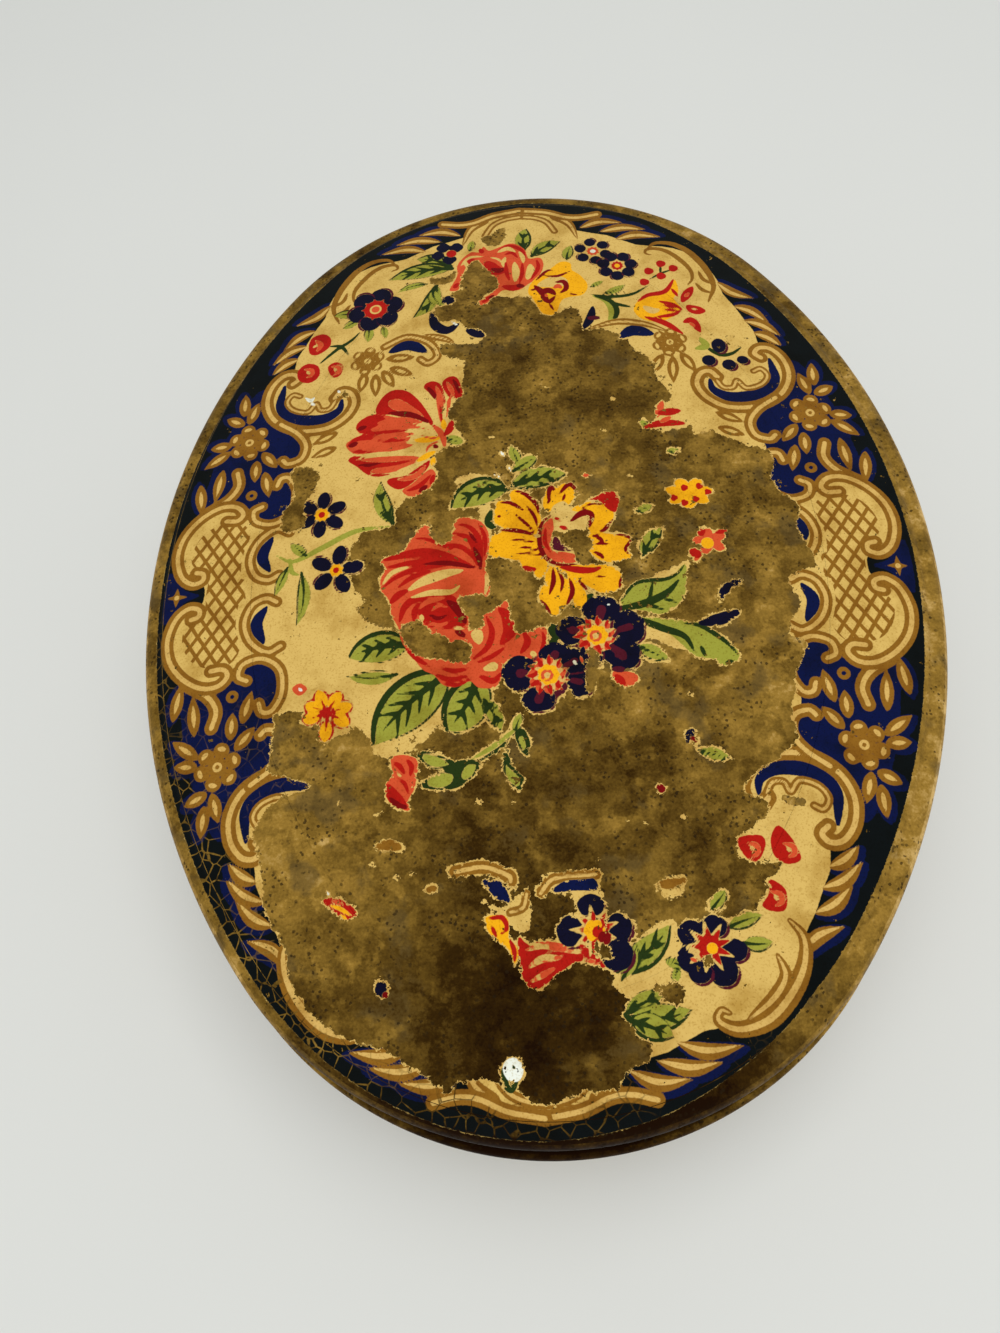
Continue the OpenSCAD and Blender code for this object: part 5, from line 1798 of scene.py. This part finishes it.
@dataclass
class Wall:
    """Strip of sheet bent to the oval: hem at the top, hook at the bottom, lock seam at the +Y end."""

    oval: Oval
    height: float
    face: float = -0.7
    sheet: float = 0.4
    fold_gap: float = 0.06
    hem_depth: float = 3.5
    hook_low: float = 1.12
    hook_high: float = 2.54
    seam_half: float = 2.5
    seam_run: float = 2.5
    seam_deep: float = 1.38
    seam_low: float = 4.6
    seam_high: float = 41.7
    rows: int = 64
    columns: int = 460
    seam_columns: int = 90
    hem_steps: tuple[int, int] = (14, 6)
    hook_steps: tuple[int, int] = (16, 10)
    hem_rub: float = 0.5
    hem_reach: float = 0.8
    hook_rub: float = 0.35

    def section(self) -> np.ndarray:
        """Closed section: up the outer face, over the hem, down the inner face and round the hook."""
        gap, sheet = self.fold_gap / 2, self.sheet
        hem, hook_in = sheet + gap, sheet / 2 + self.fold_gap
        top, axis = self.height - hem, self.face - hem
        foot = self.face + hook_in
        rise = np.linspace(self.hook_low, top, self.rows)
        outer = np.stack([np.full_like(rise, self.face), rise], -1)
        inner = np.stack([np.full_like(rise, self.face - sheet), rise[::-1]], -1)
        edge, end = self.height - self.hem_depth, foot + hook_in
        hem_out, hem_in = self.hem_steps
        hook_out, hook_back = self.hook_steps
        return unshrunk(np.concatenate([
            outer,
            arc(axis, top, hem, 0, 180, hem_out)[1:],
            [(axis - hem, edge), (axis - gap, edge)],
            arc(axis, top, gap, 180, 0, hem_in),
            inner[1:],
            arc(foot, self.hook_low, hook_in + sheet, 180, 360, hook_out)[1:],
            [(end + sheet, self.hook_high), (end, self.hook_high)],
            arc(foot, self.hook_low, hook_in, 360, 180, hook_back)[:-1],
        ]))

    def build(self) -> bpy.types.Object:
        """Makes the wall, set in along the lock seam."""
        near = self.seam_half + self.seam_run + 1
        half_turn = near / self.oval.end_radius
        turns = self.oval.turns(self.columns)
        close = np.pi / 2 + np.linspace(-half_turn, half_turn, self.seam_columns)
        turns = np.sort(np.concatenate([turns[np.abs(turns - np.pi / 2) > half_turn], close]))
        section = self.section()
        grid = self.oval.sweep(section, turns)
        grid[..., 1] -= self._seam(grid, section)
        shell = skin("box_wall", grid, True, True)
        height = section[:, 1]
        rub = np.exp(-(((height - self.height) / self.hem_reach) ** 2)) * self.hem_rub
        give(shell.data, "rub", np.repeat(rub + self.hook_rub * (height < self.hook_high), len(turns)))
        close_shell(shell)
        shell.data.materials.append(GoldLacquer().material())
        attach(shell, "box")
        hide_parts("body_wall")
        return shell

    def _seam(self, grid: np.ndarray, section: np.ndarray) -> np.ndarray:
        """How far the sheet is set in at each point of the wall.

        The sheet slopes in towards the seam's line. Outside it stands back out at the line, and
        inside the folded layers reach as far as the other edge of the seam.
        """
        x, y, z = np.moveaxis(grid, -1, 0)
        inside = (section[:, 0] < self.face - self.sheet / 2)[:, None]
        slope = np.clip((x + self.seam_half + self.seam_run) / self.seam_run, 0, 1)
        stop = np.where(inside, self.seam_half, -self.seam_half)
        held = (z > self.seam_low) & (z < self.seam_high) & (x < stop) & (y > 0)
        return np.where(held, slope * self.seam_deep, 0.0)


@dataclass
class Base:
    """Pressed base: raised panel with a bead, hooked round the wall in a double seam."""

    oval: Oval
    sheet: float = 0.4
    chuck: float = -1.16
    seam_face: float = 0.68
    seam_corner: float = 0.6
    hook_in: float = 0.26
    hook_low: float = 1.12
    hook_high: float = 2.54
    panel_rise: float = 3.4
    panel_bend: float = 1.2
    bead_inset: float = 9.0
    bead_width: float = 4.0
    bead_height: float = 0.7
    bead_run: float = 0.7
    flat_end: float = 4.0
    columns: int = 460
    panel_steps: tuple[int, int, int] = (24, 28, 6)
    bend_steps: int = 10
    corner_steps: tuple[int, int] = (5, 9)
    hook_steps: tuple[int, int] = (10, 16)
    seam_rub: float = 0.5
    seam_margin: float = 0.1
    seam_top: float = 0.7

    def _panel(self, drop: float) -> np.ndarray:
        """Panel's face from the middle to its bend; the bead is an arc of a circle."""
        stop = self.chuck - self.sheet - self.panel_bend
        middle = self.chuck - self.bead_inset
        radius = (self.bead_width**2 / 4 + self.bead_height**2) / (2 * self.bead_height)
        flat, across, outer = self.panel_steps
        run = self.bead_width * self.bead_run
        offset = np.concatenate([
            np.linspace(self.flat_end / 2 - self.oval.end_radius, middle - self.bead_width, flat),
            np.linspace(middle - run, middle + run, across),
            np.linspace(middle + self.bead_width, stop, outer),
        ])
        level = self.panel_rise + self.sheet - drop
        dome = np.sqrt(np.clip((radius - drop) ** 2 - (offset - middle) ** 2, 0, None))
        bead = dome - radius + self.bead_height
        height = np.maximum(level, self.panel_rise + self.sheet + bead)
        return capped(np.stack([offset, height, np.ones_like(offset)], -1))

    def section(self) -> np.ndarray:
        """Section from the middle of the upper face, round the double seam, to the middle of the lower."""
        bend_x = self.chuck - self.sheet - self.panel_bend
        bend_z = self.panel_rise - self.panel_bend
        corner = self.seam_corner - self.sheet
        left, right = self.chuck + corner, self.seam_face - self.sheet - corner
        hook = self.seam_face - self.sheet - self.hook_in
        big, low = self.hook_in + self.sheet, self.seam_corner
        bend, (tight, wide), (hook_back, hook_out) = self.bend_steps, self.corner_steps, self.hook_steps
        seam = np.concatenate([
            arc(bend_x, bend_z, self.panel_bend + self.sheet, 90, 0, bend),
            arc(left, low, corner, 180, 270, tight),
            arc(right, low, corner, 270, 360, tight),
            arc(hook, self.hook_high, self.hook_in, 0, 180, hook_back),
            [(hook - self.hook_in, self.hook_low), (hook - big, self.hook_low)],
            arc(hook, self.hook_high, big, 180, 0, hook_out),
            arc(right, low, self.seam_corner, 0, -90, wide),
            arc(left, low, self.seam_corner, 270, 180, wide),
            arc(bend_x, bend_z, self.panel_bend, 0, 90, bend),
        ])
        return np.concatenate([self._panel(0), unshrunk(seam), self._panel(self.sheet)[::-1]])

    def build(self) -> bpy.types.Object:
        """Makes the base, rubbed bright where it stands."""
        section = self.section()
        shell = skin("box_base", self.oval.sweep(section, self.oval.turns(self.columns)))
        offset, height = section[:, 0], section[:, 1]
        outer = offset > self.chuck + self.seam_margin
        rub = self.seam_rub * outer * (height < self.hook_high + self.seam_top)
        give(shell.data, "rub", np.repeat(rub, self.columns))
        close_shell(shell)
        shell.data.materials.append(GoldLacquer().material())
        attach(shell, "box")
        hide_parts("base")
        return shell


@dataclass(frozen=True)
class Studio:
    """Pale floor, soft light and the camera, placed as in the photograph."""

    eye: tuple[float, float, float] = (2.51, -74.72, 187.07)
    target: tuple[float, float, float] = (-5.74, -15.18, 47.0)
    roll: float = math.radians(-1.4)
    focal_pixels: float = 1000.0
    frame_pixels: float = 1333.0
    sensor: float = 36.0
    floor_size: float = 4000.0
    floor_tone: Colour = tone(222, 223, 219)
    floor_shade: Colour = tone(205, 206, 204)
    floor_clouds: Clouds = Clouds(60, 3)
    floor_grain: Clouds = Clouds(1.5, 2)
    floor_relief: float = 0.004
    lamp_place: tuple[float, float, float] = (40, -60, 650)
    lamp_aim: tuple[float, float, float] = (0, 0, 40)
    lamp_size: float = 480.0
    lamp_watts: float = 2.6
    sky: Colour = tone(248, 250, 249)
    sky_level: float = 0.56

    def build(self) -> None:
        """Makes the floor, the light and the camera."""
        bpy.context.scene.view_settings.view_transform = "Standard"
        self._floor()
        self._light()
        self._camera()

    def _floor(self) -> None:
        """Level floor with a faint unevenness."""
        span = np.linspace(-self.floor_size / 2, self.floor_size / 2, 2)
        x, y = np.meshgrid(span, span)
        floor = skin("floor", np.stack([y, x, np.zeros_like(x)], -1), False)
        graph = Graph("pale_floor")
        cloud = graph.noise(self.floor_clouds)
        colour = graph.mix(cloud.rise(0.2, 0.8) * 0.06, self.floor_tone, self.floor_shade)
        look = Look(colour, cloud * 0.1 + 0.6, 0.0, graph.noise(self.floor_grain))
        floor.data.materials.append(graph.finish(look, self.floor_relief))

    def _lamp(self) -> None:
        """Soft square lamp that faces the lid and leaves no glint."""
        data = bpy.data.lights.new("soft_lamp", "AREA")
        data.size = self.lamp_size * MM
        data.energy = self.lamp_watts
        lamp = bpy.data.objects.new("soft_lamp", data)
        bpy.context.scene.collection.objects.link(lamp)
        lamp.location = Vector(self.lamp_place) * MM
        lamp.visible_glossy = False
        lamp.rotation_mode = "QUATERNION"
        lamp.rotation_quaternion = (Vector(self.lamp_aim) * MM - lamp.location).to_track_quat("-Z", "Y")

    def _light(self) -> None:
        """Even sky and one soft lamp on the camera's side, so that the shadow falls behind the box."""
        world = bpy.data.worlds.new("studio")
        world.use_nodes = True
        back = world.node_tree.nodes["Background"]
        back.inputs["Color"].default_value = self.sky
        back.inputs["Strength"].default_value = self.sky_level
        bpy.context.scene.world = world
        self._lamp()

    def _camera(self) -> None:
        """Camera at the eye, looking at the target, rolled about its own axis."""
        data = bpy.data.cameras.new("camera")
        data.sensor_width = self.sensor
        data.lens = self.focal_pixels / self.frame_pixels * self.sensor
        data.clip_start = 0.005
        ahead = (Vector(self.target) - Vector(self.eye)).normalized()
        level = ahead.cross(Vector((0, 1, 0))).normalized()
        up = level.cross(ahead)
        right = level * math.cos(self.roll) + up * math.sin(self.roll)
        axes = Matrix((right, right.cross(ahead), -ahead)).transposed()
        camera = bpy.data.objects.new("camera", data)
        camera.matrix_world = Matrix.Translation(Vector(self.eye) * MM) @ axes.to_4x4()
        bpy.context.scene.collection.objects.link(camera)
        bpy.context.scene.camera = camera


def main() -> None:
    """Builds the box in order and reports each piece."""
    logging.basicConfig(level=logging.INFO, format="%(name)s: %(message)s")
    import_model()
    low, high = (np.array(corner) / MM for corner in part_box("lid"))
    curl_reach = 2 * Lid.curl - Lid.sheet
    oval = Oval(round(high[0] - curl_reach, 2), round(high[1] - curl_reach, 2))
    lid = Lid(oval, round(float(high[2]), 2), round(float(low[2]), 2))
    wall = Wall(oval, round(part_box("body_wall")[1].z / MM, 2))
    for piece in (wall.build(), Base(oval).build(), lid.build(), *lid.printed()):
        mesh = piece.data
        LOG.info("%s: %d vertices, %d faces", piece.name, len(mesh.vertices), len(mesh.polygons))
    Studio().build()


if __name__ == "__main__":
    main()
